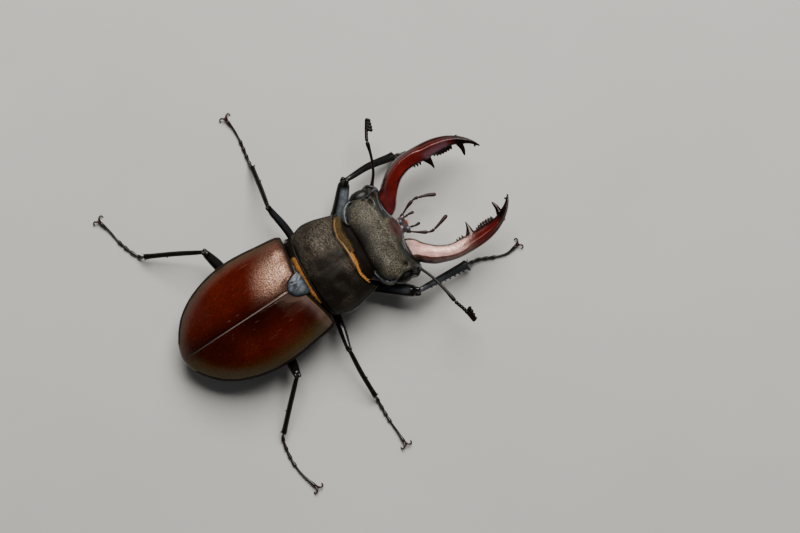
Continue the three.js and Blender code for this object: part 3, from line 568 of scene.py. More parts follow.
def grained(name, low, high, size, depth, rough, smooth_tint=None, spec=0.5, brown=None, fine_size=9.0):
    """Satin black shell with dense fine grain; attribute plain (0 to 1) is where the surface is smooth, attribute shade
    is painted shade.
    """
    n = Nodes(name)
    p = n.attr("plain")
    grain = n.noise(size, 3, 0.55)
    cell = n.cells(size * 0.85, "SMOOTH_F1", 1.0, smoothness=0.5)
    fine = n.noise(fine_size, 3, 0.6)
    c = n.ramp(n.noise(0.45, 4), [(0.32, low), (0.68, high)])
    c = n.mix(n.span(grain, 0.42, 0.66, 0.0, 0.55), c, tuple(min(1, 2.1 * v) for v in high))
    if brown:
        c = n.mix(n.span(n.noise(0.7, 3), 0.45, 0.7, 0.0, 0.5), c, brown)
    if smooth_tint:
        c = n.mix(p, c, smooth_tint)
    # painted shade
    c = n.mix(n.attr("shade"), c, (0.0028, 0.0016, 0.0010))
    keep = n.span(p, 0.0, 1.0, 1.0, 0.22)
    b = n.bump(grain, depth, keep)
    b = n.bump(n.ramp(cell, [(0.0, 1.0), (0.45, 0.25), (1.0, 0.0)]), depth * 1.1, keep, b)
    b = n.bump(fine, depth * 0.25, 0.6, b)
    b = n.bump(n.noise(0.8, 3), 40, 0.6, b)
    r = n.math("ADD", n.span(grain, 0.3, 0.7, rough - 0.06, rough + 0.08), n.span(p, 0.0, 1.0, 0.0, -0.14))
    return n.done(c, r, b, Specular_IOR_Level=spec)


def jaw_material(lit, cover, even_part, metal, gloss_level):
    n = Nodes("mandible_shell")
    d, painted_sheen = n.attr("dark"), n.attr("painted_sheen")
    big, fine, grain = n.noise(0.35, 4), n.noise(6.0, 4), n.noise(3.4, 4, 0.68)
    c = n.ramp(big, [(0.3, (0.056, 0.0032, 0.0025)), (0.52, (0.102, 0.0058, 0.0044)), (0.72, (0.147, 0.0092, 0.0068))])
    # dark attribute: dark edges, teeth and tips, partly painted shade
    c = n.mix(n.span(d, 0.10, 0.70), c, (0.0036, 0.0012, 0.0012))
    c = n.mix(n.span(fine, 0.42, 0.72, 0.0, 0.42), c, (0.014, 0.0014, 0.0009))
    # painted highlight on the right mandible and painted reflection on the left: the lit colour, with metallic, over
    # the sheen mask
    highlight_polish = n.math("MULTIPLY", n.span(grain, 0.40, 0.62, even_part, 1.0), n.math("MULTIPLY", painted_sheen, cover))
    c = n.mix(highlight_polish, c, lit)
    b = n.bump(n.noise(4.4, 3, 0.6), 16, 0.9)
    b = n.bump(grain, 46, n.span(painted_sheen, 0.0, 0.6, 0.12, 1.0), b)
    b = n.bump(fine, 7, 0.8, b)
    pits = n.cells(3.4, "SMOOTH_F1", 1.0, smoothness=0.5)
    b = n.bump(n.ramp(pits, [(0.0, 0.0), (0.2, 0.9), (1.0, 1.0)]), 12, 0.7, b)
    b = n.bump(n.noise(0.7, 3), 55, 0.6, b)
    rough = n.math("ADD", n.span(fine, 0.3, 0.7, 0.15, 0.23), n.span(d, 0.3, 1.0, 0.0, -0.05))
    return n.done(c, n.math("ADD", rough, n.span(painted_sheen, 0.0, 0.5, 0.0, 0.10)), b, Specular_IOR_Level=gloss_level, Specular_Tint=(1.0, 0.80, 0.76), Coat_Weight=0.0, Metallic=n.math("MULTIPLY", highlight_polish, metal))


def gloss(name, low, high, rough=0.22, size=1.4, depth=14, tip=None, coat=0.3, spec=0.55, painted_reflection=None):
    n = Nodes(name)
    fine = n.noise(8.0, 4)
    c = n.ramp(n.noise(size, 4), [(0.32, low), (0.68, high)])
    if tip:
        c = n.mix(n.attr("tip"), c, tip)
    # painted reflection: pale blue-grey laid over the mask
    if painted_reflection:
        c = n.mix(n.math("MULTIPLY", n.attr("painted_reflection"), n.span(n.noise(1.6, 4, 0.6), 0.34, 0.62, 0.62, 1.0)), c, painted_reflection)
    pits = n.cells(3.2, "SMOOTH_F1", 1.0, smoothness=0.4)
    b = n.bump(fine, depth * 0.35, 0.7)
    b = n.bump(n.ramp(pits, [(0.0, 0.0), (0.25, 0.9), (1.0, 1.0)]), depth * 0.7, 0.7, b)
    b = n.bump(n.noise(1.1, 3), depth * 2.2, 0.6, b)
    return n.done(c, n.span(fine, 0.3, 0.7, rough - 0.05, rough + 0.08), b, Specular_IOR_Level=spec, Coat_Weight=coat, Coat_Roughness=0.12)


def eye_material():
    n = Nodes("eye_surface")
    cell = n.cells(13.0, "F1", 0.35)
    c = n.mix(n.span(n.noise(1.1, 3), 0.35, 0.7), (0.0030, 0.0021, 0.0010), (0.0125, 0.0078, 0.0028))
    c = n.mix(n.span(cell, 0.25, 0.6, 0.0, 0.6), c, (0.0020, 0.0016, 0.0010))
    b = n.bump(n.ramp(cell, [(0.0, 1.0), (0.6, 0.0)]), 12, 1.0)
    return n.done(c, 0.34, b, Specular_IOR_Level=0.30, Coat_Weight=0.08, Coat_Roughness=0.16)


def hair_material():
    n = Nodes("hair")
    t, tone = n.attr("tip"), n.attr("tone")
    bright = n.mix(t, (0.56, 0.150, 0.008), (1.0, 0.46, 0.075))
    dull = n.mix(t, (0.024, 0.0150, 0.0024), (0.150, 0.104, 0.022))
    c = n.mix(tone, dull, bright)
    c = n.mix(n.span(n.noise(3.0, 2), 0.4, 0.7, 0.0, 0.45), c, n.mix(tone, (0.012, 0.0075, 0.0020), (0.30, 0.080, 0.008)))
    return n.done(c, n.span(n.noise(5.0, 2), 0.3, 0.7, 0.38, 0.55), None, Specular_IOR_Level=0.4, Subsurface_Weight=0.0, Sheen_Weight=0.05)


# the right wing case takes a shaded copy: lower gloss and a brighter olive margin, painted light and reflection where
# the lamp leaves that side dim
M_WING, M_WING_SHADE = wing_material((0.036, 0.0220, 0.0006), 0.36, (1.0, 0.76, 0.60)), wing_material((0.074, 0.0490, 0.0010), 0.28, (1.0, 0.76, 0.58))
M_PRO = pronotum_material()
M_HEAD = head_material()
M_UNDER = grained("underside_shell", (0.014, 0.008, 0.005), (0.028, 0.016, 0.010), 2.8, 26, 0.42, spec=0.3, brown=(0.05, 0.024, 0.011))
# the right mandible's copy carries a painted highlight, the left's a painted lilac reflection
M_JAW, M_JAW_LIT = jaw_material((0.150, 0.088, 0.118), 0.80, 0.5, 0.0, 0.46), jaw_material((0.408, 0.262, 0.216), 1.0, 0.60, 0.88, 0.50)
M_LEG = gloss("leg_shell", (0.0032, 0.0026, 0.0020), (0.0080, 0.0064, 0.0046), 0.17, depth=6, coat=0.0, spec=0.34, painted_reflection=(0.165, 0.190, 0.215))
M_FOOT = gloss("foot_shell", (0.0055, 0.0024, 0.0014), (0.016, 0.0062, 0.0034), 0.30, tip=(0.0034, 0.0020, 0.0014), coat=0.1, spec=0.5)
M_CLAW = gloss("claw_shell", (0.018, 0.0050, 0.0028), (0.040, 0.0115, 0.0060), 0.30, coat=0.1, spec=0.4)
M_FEELER = gloss("feeler_shell", (0.0044, 0.0016, 0.0012), (0.0130, 0.0042, 0.0030), 0.28, tip=(0.0060, 0.0026, 0.0024), coat=0.0, spec=0.22)
M_PALP = gloss("palp_shell", (0.014, 0.0048, 0.0042), (0.036, 0.0120, 0.0100), 0.36, coat=0.0, spec=0.26)
M_SCUT = gloss("scutellum_shell", (0.0080, 0.0100, 0.0130), (0.0250, 0.0315, 0.0400), 0.30, size=1.5, depth=40, coat=0.0, spec=0.32, painted_reflection=(0.225, 0.280, 0.335))
M_MOUTH = gloss("mouth_shell", (0.022, 0.0105, 0.0100), (0.060, 0.036, 0.040), 0.28, coat=0.2)
M_LIP = gloss("lip_shell", (0.028, 0.029, 0.038), (0.085, 0.087, 0.112), 0.30, coat=0.15)
M_EYE = eye_material()
M_HAIR = hair_material()
M_HAIR_DARK = gloss("hair_dark", (0.0050, 0.0028, 0.0010), (0.0170, 0.0098, 0.0032), 0.6, coat=0.0, spec=0.15)
M_TUFT = gloss("mouth_tuft", (0.30, 0.060, 0.006), (0.62, 0.130, 0.012), 0.5, coat=0.0, spec=0.3)


# ------------------------------------------------------------------ relief helpers
def poly_dist(x, y, pts):
    best = np.full(np.shape(x), 1e9)
    for (ax, ay), (bx, by) in zip(pts[:-1], pts[1:]):
        dx, dy = bx - ax, by - ay
        t = np.clip(((x - ax) * dx + (y - ay) * dy) / (dx * dx + dy * dy), 0, 1)
        best = np.minimum(best, np.hypot(x - ax - t * dx, y - ay - t * dy))
    return best


def ridge(x, y, pts, height, width):
    return height * bell(poly_dist(x, y, pts), width)


def dent(x, y, at, r, depth, angle=0.0):
    c, s = math.cos(angle), math.sin(angle)
    dx, dy = x - at[0], y - at[1]
    return -depth * np.exp(-((dx * c + dy * s) / r[0]) ** 2 - ((-dx * s + dy * c) / r[1]) ** 2)


def ripple(x, y, scale, seed):
    """Slow uneven wave, about -1 to 1."""
    r = np.random.default_rng(seed)
    out = 0.0
    for _ in range(7):
        a, f, p = r.uniform(0, 2 * np.pi), scale * r.uniform(0.6, 1.7), r.uniform(0, 2 * np.pi)
        out = out + np.sin((x * math.cos(a) + y * math.sin(a)) * f + p)
    return out / 4.5


# ------------------------------------------------------------------ wing cases
elytra_top = keys([[-27, ELYTRA_TOP - 1.2], [-24.5, ELYTRA_TOP - 0.5], [-18, ELYTRA_TOP], [-12, ELYTRA_TOP - 0.5], [-8, ELYTRA_TOP - 1.4], [-4, ELYTRA_TOP - 3.2], [0, ELYTRA_TOP - 5.6]])
elytra_edge = keys([[-27, ELYTRA_EDGE + 1.2], [-24, ELYTRA_EDGE + 0.3], [-18, ELYTRA_EDGE], [-10, ELYTRA_EDGE - 0.7], [-4, ELYTRA_EDGE - 1.6], [0, ELYTRA_EDGE - 2.0]])
ELYTRON_SIDE = [[9.05, -26.7], [9.48, -25.9], [9.72, -24.6], [W - 0.62, -22.5], [W - 0.22, -19.5], [W, -16.5], [W - 0.18, -13.2], [W - 0.88, -9.9], [W - 2.05, -6.8], [W - 3.7, -4.2], [5.05, -2.4], [3.2, -1.05]]
ELYTRON_FRONT = [[SUTURE_GAP, -23.05], [0.62, -23.12], [1.18, -23.5], [1.64, -24.15], [1.98, -24.95], [2.3, -25.6], [4.1, -26.05], [6.0, -26.45], [7.7, -26.68], [9.05, -26.7]]
elytron_plan = patch(
    ELYTRON_FRONT,
    [[SUTURE_GAP, -0.1], [0.9, -0.16], [2.0, -0.5], [3.2, -1.05]],
    [[SUTURE_GAP, -23.05], [SUTURE_GAP, -15], [SUTURE_GAP, -7], [SUTURE_GAP, -0.1]],
    ELYTRON_SIDE,
)
elytra_half = keys([[-26.7, 9.05], [-25.9, 9.48], [-24.6, 9.72], [-22.5, W - 0.62], [-19.5, W - 0.22], [-16.5, W], [-13.2, W - 0.18], [-9.9, W - 0.88], [-6.8, W - 2.05], [-4.2, W - 3.7], [-2.4, 5.05], [-1.05, 3.2], [-0.5, 2.0], [-0.1, 0.4]])
around_scutellum = ELYTRON_FRONT[:6]


def elytron_sheet(u, v, side):
    q = elytron_plan(u, v)
    drop, inset = (0, 0) if side > 0 else (SHELL, 0.7)
    x0, y = q[..., 0], q[..., 1]
    e, d = elytra_edge(y), dome(u, 2.5, 1.75) * dome(v, 4.2, 2.0)
    z = e + np.maximum(0, elytra_top(y) - drop - e) * d - 0.30 * smooth(0.09, 0, v)
    x = SUTURE_GAP + (x0 - SUTURE_GAP) * (1 - inset / W)
    y = y - inset * smooth(0.55, 1, v) * smooth(1.2, 0.2, u)
    if side < 0:
        z = z - 0.5 * (1 - d)
    else:
        out = poly_dist(x, y, ELYTRON_SIDE)
        z = z + 0.30 * np.exp(-((x - 7.6) / 1.2) ** 2 - ((y + 24.6) / 1.4) ** 2)                        # shoulder
        z = z - 0.12 * bell(x - 5.9, 0.8) * smooth(-22.8, -24.9, y)                                    # hollow beside it
        z = z + 0.022 * bell(x - 0.15, 0.06) - 0.050 * bell(x - 0.36, 0.15) - 0.05 * smooth(0.13, 0.035, x0)   # seam bead
        z = z + 0.07 * bell(out - 0.13, 0.10) - 0.06 * bell(out - 0.40, 0.15)                          # side rim
        near = poly_dist(x, y, around_scutellum)
        z = z + 0.05 * bell(near - 0.16, 0.12)                                                         # lip round the scutellum
        z = z - 0.35 * np.square(np.clip(1 - v / 0.022, 0, 1)) * (u > 0)                               # rolled front edge
        z = z + 0.020 * ripple(x, y, 0.9, 3) * smooth(0.3, 1.5, out)
    x = x - (SUTURE_GAP - 0.022) * smooth(1.5, SUTURE_GAP, x)
    y = y - 0.09 * smooth(-3.0, 0.0, y)
    return np.stack([x, y, z], -1)


elytron = pillow(150, 190, elytron_sheet, even, even, rim=3, bead=0.03)
_x, _y = elytron[0][:, 0], elytron[0][:, 1]
_out = poly_dist(_x, _y, ELYTRON_SIDE)
_front = poly_dist(_x, _y, ELYTRON_FRONT[5:])
_scut = poly_dist(_x, _y, around_scutellum)
# pale line along the suture and round the scutellum: painted highlights
_seam_highlight = smooth(0.115, 0.06, _x) * smooth(-0.4, -4.0, _y) * (0.35 + 0.65 * smooth(-2, -14, _y))
_lip_highlight = 0.12 * smooth(0.30, 0.10, _scut)


def elytron_attrs(right):
    mid = smooth(4.2 + 3.2 * right, 0.2, _x) * (1.0 if right else 0.74)
    mid = mid * (1 - 0.30 * right * smooth(-16.5, -9.0, _y))
    mid = np.maximum(mid, 0.80 * smooth(-18.5, -25.0, _y) if right else 0.97 * smooth(1.1, 0.3, _x))
    edge = smooth(2.1 + 2.1 * right, 0.0, _out) * smooth(-0.1, 2.2, _y + 27.0)
    seam_highlight_and_veil = np.maximum(_seam_highlight, _lip_highlight)
    if right:
        # small painted highlight behind the scutellum on the right wing case
        painted_sheen = 0.04 * np.exp(-((_x - 1.2) / 1.1) ** 2 - ((_y + 22.6) / 1.2) ** 2)
        # purple-grey veil along the right wing case's front: painted reflection
        front_reflection = bell(_front - 0.5, 1.25) * smooth(0.8, 2.6, _x) * (0.75 + 0.25 * smooth(8.5, 5.0, _x)) + 0.5 * np.exp(-((_x - 8.6) / 1.0) ** 2 - ((_y + 25.2) / 1.6) ** 2)
        seam_highlight_and_veil = np.maximum(seam_highlight_and_veil, 0.26 * np.clip(front_reflection * (1 + 0.35 * ripple(_x, _y, 2.2, 78)), 0, 1))
    else:
        # painted highlight patch on the left wing case's front, where the key light's reflection falls
        painted_sheen = smooth(-17.0 - 0.42 * _x + 2.4, -24.6 - 0.30 * _x + 2.4, _y) * smooth(9.4, 5.8, _x) * smooth(-0.6, 1.8, _x - 0.2)
        painted_sheen = painted_sheen * (0.62 + 0.38 * smooth(0.0, 3.5, _x)) * (0.80 + 0.36 * bell(_y + 22.6, 1.8) * smooth(1.5, 4.0, _x) - 0.20 * smooth(-24.0, -25.6, _y))
    painted_sheen = np.clip(painted_sheen * (1 + 0.25 * ripple(_x, _y, 0.8, 77)), 0, 1) * smooth(0.22, 0.75, _front)
    outline = np.maximum(smooth(0.64, 0.42, _out), smooth(0.46, 0.26, _front))
    satin = right * smooth(5.6, 3.0, _x) * smooth(-19.5, -21.5, _y)
    # painted shade along the left wing case's front edge and at the shoulder
    shade = (0.80 * smooth(1.15, 0.45, _front) * smooth(2.2, 3.4, _x) + 0.35 * smooth(8.2, 9.4, _x) * smooth(3.2, 1.2, _front)) * (1 - right)
    return {"mid": mid, "edge": np.maximum.reduce([edge * 0.84, outline, 0.80 * smooth(0.75, 0.3, _front)]), "seam_highlight_and_veil": seam_highlight_and_veil * (1 - outline), "painted_sheen": painted_sheen, "satin": satin, "shade": np.clip(shade, 0, 0.9)}


piece("wing_case_left", elytron, M_WING, "elytron_left", elytron_attrs(0))
piece("wing_case_right", flip(elytron), M_WING_SHADE, "elytron_right", elytron_attrs(1))

scutellum_plan = patch(
    [[-2.15, -26.15], [-1.1, -26.35], [0, -26.4], [1.1, -26.35], [2.15, -26.15]],
    [[-0.45, -23.08], [0, -22.99], [0.45, -23.08]],
    [[-2.15, -26.15], [-2.05, -25.4], [-1.68, -24.28], [-1.14, -23.5], [-0.45, -23.08]],
    [[2.15, -26.15], [2.05, -25.4], [1.68, -24.28], [1.14, -23.5], [0.45, -23.08]],
)


def scutellum_sheet(u, v, side):
    q = scutellum_plan(u, v)
    x, y = q[..., 0], q[..., 1]
    if side > 0:
        d = dome(2 * u - 1, 3.6, 2) * dome(2 * v - 1, 4, 2)
        q[..., 2] = (elytra_top(y) - 0.30 + 0.16 * d - 0.05 * bell(poly_dist(x, y, [[1.25, -25.9], [0.75, -25.1], [0.95, -24.2]]), 0.16)
                     - 0.04 * bell(poly_dist(x, y, [[0.6, -25.3], [-0.2, -24.6]]), 0.16) + 0.018 * ripple(x, y, 2.4, 17))
    else:
        q[..., 2] = elytra_top(y) - 1.1
    return q


shield = pillow(60, 60, scutellum_sheet, rim=3, bead=0.04)
_sx, _sy = shield[0][:, 0], shield[0][:, 1]
# pale blue-grey streaks on the scutellum: painted highlights
_painted_streak = np.maximum.reduce([0.85 * bell(poly_dist(_sx, _sy, [[1.40, -25.9], [1.20, -25.0]]), 0.42), 0.62 * bell(poly_dist(_sx, _sy, [[0.30, -25.7], [0.10, -25.2]]), 0.40),
                             0.50 * bell(poly_dist(_sx, _sy, [[-0.75, -25.6], [-1.0, -25.1]]), 0.48), 0.36 * bell(poly_dist(_sx, _sy, [[0.35, -24.0], [0.15, -23.5]]), 0.34)])
piece("scutellum_plate", shield, M_SCUT, "scutellum", {"painted_reflection": np.clip((0.01 + 0.98 * _painted_streak ** 1.3 * (1 + 0.7 * ripple(_sx, _sy, 2.6, 63))) * smooth(0.08, 0.46, poly_dist(np.abs(_sx), _sy, around_scutellum)), 0, 1)})

# ------------------------------------------------------------------ hind body
body_half = keys([[-27, 7.4], [-25, 8.7], [-20, 9.3], [-15, 9.2], [-11, 8.4], [-7, 6.7], [-4, 4.6], [-2.8, 3.3], [-1.8, 2.0]])
belly_z = keys([[-27, CHEST + 0.5], [-24, CHEST - 0.1], [-18, BELLY], [-10, BELLY + 0.2], [-5, BELLY + 0.7], [-1.2, BELLY + 1.6]])


def inner_top(x, y):
    e, t = elytra_edge(y) - 0.65, elytra_top(y) - SHELL - 0.45
    return e - 0.3 + np.maximum(0, t - e) * dome(x / (0.925 * elytra_half(y)), 2.5, 1.75) * dome(np.clip((y + 26.1) / 25.4, 0, 1), 4.2, 2.0)


def torso(y0, y1, nu, nv, front_arc, rear_arc, relief):
    ys = [y0 + (y1 - y0) * t for t in (0, 0.2, 0.4, 0.6, 0.8, 1)]
    h0, h1 = float(body_half(y0)), float(body_half(y1))
    p = patch([[-h0, y0], [0, y0 - front_arc], [h0, y0]], [[-h1, y1], [0, y1 + rear_arc], [h1, y1]],
              [[-float(body_half(y)), y] for y in ys], [[float(body_half(y)), y] for y in ys])

    def sheet(u, v, side):
        q = p(u, v)
        x, y = q[..., 0], q[..., 1]
        e = elytra_edge(y) - 0.9
        if side > 0:
            q[..., 2] = np.maximum(e + 0.05, inner_top(x, y))
        else:
            q[..., 2] = e - 0.4 - np.maximum(0, e - 0.4 - belly_z(y)) * dome(2 * u - 1, 2.6, 1.5) + relief(x, y)
        return q

    return pillow(nu, nv, sheet, even, plain, rim=2, bead=0.05)


SEGMENTS = [-14.4, -11.6, -8.9, -6.4, -4.2, -1.7]


def abdomen_relief(x, y):
    yy = y - 0.06 * np.abs(x) ** 1.3
    z = 0.02 * ripple(x, y, 1.4, 11)
    for a, b in zip(SEGMENTS[:-1], SEGMENTS[1:]):
        f = (yy - a) / (b - a)
        z = z + np.where((f >= 0) & (f < 1), 0.26 * np.power(np.clip(1 - f, 0, 1), 2) - 0.10 * np.sin(np.pi * np.clip(f, 0, 1)), 0)
    return z - dent(np.abs(x), y, (7.0, -10.0), (1.1, 5.0), 0.15)


def sternum_relief(x, y):
    z = 0.03 * ripple(x, y, 1.2, 12)
    z = z + 0.22 * bell(x, 0.12) * smooth(-24, -22.5, y) * smooth(-15.5, -17, y)          # median suture
    z = z + 0.25 * bell(poly_dist(np.abs(x), y, [[1.0, -23.2], [4.5, -23.0], [8.4, -24.2]]), 0.14)
    z = z + 0.22 * bell(poly_dist(np.abs(x), y, [[6.8, -15.0], [7.3, -19.0], [8.3, -23.8]]), 0.14)
    return z - 0.18 * bell(np.abs(x) - 2.6, 1.6) * smooth(-22, -19, y)


piece("abdomen_body", torso(-14.4, -1.9, 120, 130, 0, 0.4, abdomen_relief), M_UNDER, "abdomen", {"plain": 0.25})
stern = torso(-27.3, -14.2, 120, 110, 0.3, 0, sternum_relief)
# painted shade on the sternum's top under the wing cases' edge
piece("sternum_body", stern, M_UNDER, "sternum", {"plain": 0.15, "shade": smooth(elytra_edge(stern[0][:, 1]) - 1.2, elytra_edge(stern[0][:, 1]) - 0.6, stern[0][:, 2])})


def coxa(at, r, s, seed):
    V, Q, T = ball([s * at[0], at[1], at[2]], r, 48, 32)
    N = normals((V, Q, T))
    x, y = V[:, 0], V[:, 1]
    return V + N * (0.05 * ripple(x, y, 2.2, seed) - 0.12 * bell(np.abs(x) - at[0] - 0.4 * r[0], 0.18))[:, None], Q, T


for side, s in (("left", 1), ("right", -1)):
    piece("hind_hip_" + side, coxa((3.5, -15.6, 3.4), [3.2, 1.35, 0.95], s, 21), M_UNDER, "coxa_hind_" + side, {"plain": 0.5})
    piece("mid_hip_" + side, coxa((2.75, -25.5, 3.3), [1.9, 1.5, 1.15], s, 22), M_UNDER, "coxa_mid_" + side, {"plain": 0.5})
    piece("fore_hip_" + side, turn(coxa((2.5, -31.8, 3.6), [2.3, 1.45, 1.35], s, 23), PRONOTUM_SHIFT), M_UNDER, "coxa_fore_" + side, {"plain": 0.5})

# ------------------------------------------------------------------ pronotum, the body under it, neck
PRO_SIDE = [[7.35, -37.05], [7.75, -36.0], [8.2, -34.5], [8.7, -32.5], [8.85, -30.5], [8.35, -28.9], [7.85, -27.8]]
PRO_FRONT = [[0, -35.7], [1.8, -35.6], [3.75, -35.3], [5.6, -35.75], [6.6, -36.35], [7.35, -37.05]]
PRO_REAR = [[0, -26.88], [3.0, -26.96], [5.0, -27.12], [6.7, -27.42], [7.85, -27.8]]
pronotum_plan = patch(across(PRO_FRONT), across(PRO_REAR), mirror(PRO_SIDE), PRO_SIDE)
pronotum_top = keys([[-37.1, PRONOTUM_TOP - 1.3], [-35.5, PRONOTUM_TOP - 0.7], [-32.5, PRONOTUM_TOP], [-29, PRONOTUM_TOP - 0.05], [-27, PRONOTUM_TOP - 0.5]])
pronotum_edge = keys([[-37.1, 9.3], [-33, 8.9], [-30, 8.8], [-27, 9.3]])


def pronotum_sheet(u, v, side):
    q = pronotum_plan(u, v)
    x, y = q[..., 0], q[..., 1]
    e, t, sec = pronotum_edge(y), pronotum_top(y), dome(2 * u - 1, 2.3, 1.8)
    if side > 0:
        z = e + (t - e) * sec - 0.35 * (smooth(0.1, 0, v) + smooth(0.9, 1, v))
        ax = np.abs(x)
        df, dr, ds = poly_dist(ax, y, PRO_FRONT), poly_dist(ax, y, PRO_REAR), poly_dist(ax, y, PRO_SIDE)
        inside = smooth(0.15, 0.9, np.minimum(np.minimum(df, dr), ds))
        z = z - 0.085 * bell(x, 0.50) * smooth(-35.6, -34.4, y) * smooth(-27.8, -29.6, y)
        z = z - 0.24 * bell(poly_dist(ax, y, [[5.5, -32.8], [3.6, -32.2]]), 0.95) * inside
        z = z - 0.17 * bell(poly_dist(ax, y, [[6.3, -29.8], [4.6, -29.1]]), 0.95) * inside
        z = z + 0.10 * bell(poly_dist(ax, y, [[4.4, -30.7], [2.2, -30.6]]), 1.0) * inside
        z = z + 0.085 * ripple(x, y, 0.9, 5) * inside + 0.035 * ripple(x, y, 2.2, 15) * inside
        z = z + 0.12 * bell(ds - 0.12, 0.10) - 0.10 * bell(ds - 0.40, 0.17)
        z = z + 0.12 * bell(dr - 0.09, 0.08) - 0.10 * bell(dr - 0.32, 0.15)
        z = z + 0.15 * bell(df - 0.11, 0.09) - 0.13 * bell(df - 0.38, 0.18)
    else:
        z = e - 0.45 + (t - e + 0.45 - SHELL) * sec - 0.2
        x = x * 0.955
    return np.stack([x, y, z], -1)


pro = pillow(170, 120, pronotum_sheet, rim=3, bead=0.03)
_x, _y = np.abs(pro[0][:, 0]), pro[0][:, 1]
_m = np.minimum(np.minimum(poly_dist(_x, _y, PRO_FRONT), poly_dist(_x, _y, PRO_REAR)), poly_dist(_x, _y, PRO_SIDE))
_px = pro[0][:, 0]
# painted light and shade: bright at the left front, dark over the right half
_lit = 0.27 + 0.76 * np.exp(-((_px - 4.3) / 1.9) ** 2 - ((_y + 32.2) / 2.1) ** 2) + 0.30 * np.exp(-((_px - 6.3) / 1.8) ** 2 - ((_y + 34.3) / 1.8) ** 2)
_lit = _lit - 0.36 * smooth(1.5, -3.0, _px) + 0.24 * np.exp(-((_px + 2.2) / 2.2) ** 2 - ((_y + 34.0) / 1.6) ** 2) + 0.20 * np.exp(-((_px + 6.6) / 1.2) ** 2 - ((_y + 31.0) / 3.0) ** 2) + 0.18 * ripple(_px, _y, 1.1, 41)
_lit = _lit - 0.26 * bell(poly_dist(_px, _y, [[1.2, -33.4], [4.6, -29.6]]), 0.5) - 0.18 * bell(poly_dist(_px, _y, [[6.2, -33.0], [3.4, -30.8]]), 0.35)
_lit = _lit - 0.22 * np.exp(-((_px + 3.9) / 2.2) ** 2 - ((_y + 30.2) / 2.4) ** 2) + 0.26 * np.exp(-((_px + 7.2) / 1.3) ** 2 - ((_y + 31.0) / 1.8) ** 2)
_lit = 0.30 + 1.28 * (_lit - 0.30) + 0.20 * ripple(_px, _y, 0.55, 42) + 0.24 * np.exp(-((_px + 5.0) / 2.2) ** 2 - ((_y + 33.4) / 1.7) ** 2)
# pale front line: painted rim highlight
_lip_highlight = smooth(0.32, 0.16, poly_dist(_x, _y, PRO_FRONT)) * smooth(-3.0, -0.8, _px) * smooth(7.2, 6.4, _px) * (0.65 + 0.35 * smooth(3.0, 1.0, _px)) * (pro[0][:, 2] > 9.2)
piece("pronotum_plate", turn(pro, PRONOTUM_SHIFT), M_PRO, "pronotum", {"plain": smooth(0.30, 0.14, _m), "lit": np.clip(_lit, 0, 1), "lip": _lip_highlight})

core_half = keys([[-37.3, 4.6], [-36.2, 5.4], [-34.5, 6.5], [-31, 7.1], [-28, 6.7], [-27, 6.6]])
core_plan = patch(
    [[-4.6, -37.3], [0, -37.35], [4.6, -37.3]], [[-6.7, -27.4], [0, -27.2], [6.7, -27.4]],
    [[-float(core_half(y)), y] for y in (-37.3, -35, -32.5, -30, -27.4)], [[float(core_half(y)), y] for y in (-37.3, -35, -32.5, -30, -27.4)],
)


def core_sheet(u, v, side):
    q = core_plan(u, v)
    x, y = q[..., 0], q[..., 1]
    e, out = pronotum_edge(y), smooth(-35.4, -36.4, y)
    if side > 0:
        q[..., 2] = e - 0.65 + (pronotum_top(y) - e + 0.45 - SHELL) * dome(x / 8.1, 2.3, 1.8) - 0.5 - 0.6 * out
    else:
        m = e - 1.2
        z = m - (m - CHEST - 1.9 * out) * dome(2 * u - 1, 2.6, 1.5)
        z = z - 0.30 * bell(x, 0.5) * smooth(-35.5, -33.0, y) * smooth(-28.2, -29.5, y) + 0.03 * ripple(x, y, 1.3, 31)
        q[..., 2] = z + 0.2 * bell(poly_dist(np.abs(x), y, [[1.2, -34.6], [4.2, -34.2], [6.6, -32.0]]), 0.14)
    return q


piece("prosternum_body", turn(pillow(110, 90, core_sheet, even, plain, rim=2, bead=0.05), PRONOTUM_SHIFT), M_UNDER, "prosternum", {"plain": 0.2})

# neck skin between the two, finely creased
neck_path = Curve([[0.1, -35.2, 8.75], [0.15, -37.0, 8.8], [0.25, -39.4, 8.9]])
_t = np.linspace(0, 1, 80)
_cap = np.sqrt(np.clip(1 - (1 - np.minimum(1, _t * 6)) ** 2, 0.02, 1)) * np.sqrt(np.clip(1 - (1 - np.minimum(1, (1 - _t) * 6)) ** 2, 0.02, 1))
neck = tube(neck_path, _t, 5.7 * _cap, 2.35 * _cap, 110, section=lambda p, t: 1 / np.power(np.abs(np.cos(p)) ** 2.8 + np.abs(np.sin(p)) ** 2.8, 1 / 2.8))
neck = (neck[0] + normals(neck) * (0.05 * ripple(neck[0][:, 0] * 0.5, neck[0][:, 1] * 2.2, 2.0, 61))[:, None], neck[1], neck[2])
M_NECK = gloss("neck_shell", (0.0034, 0.0019, 0.0010), (0.0095, 0.0048, 0.0020), 0.62, coat=0.0, spec=0.12)
piece("neck_skin", turn(neck, PRONOTUM_SHIFT), M_NECK, ())

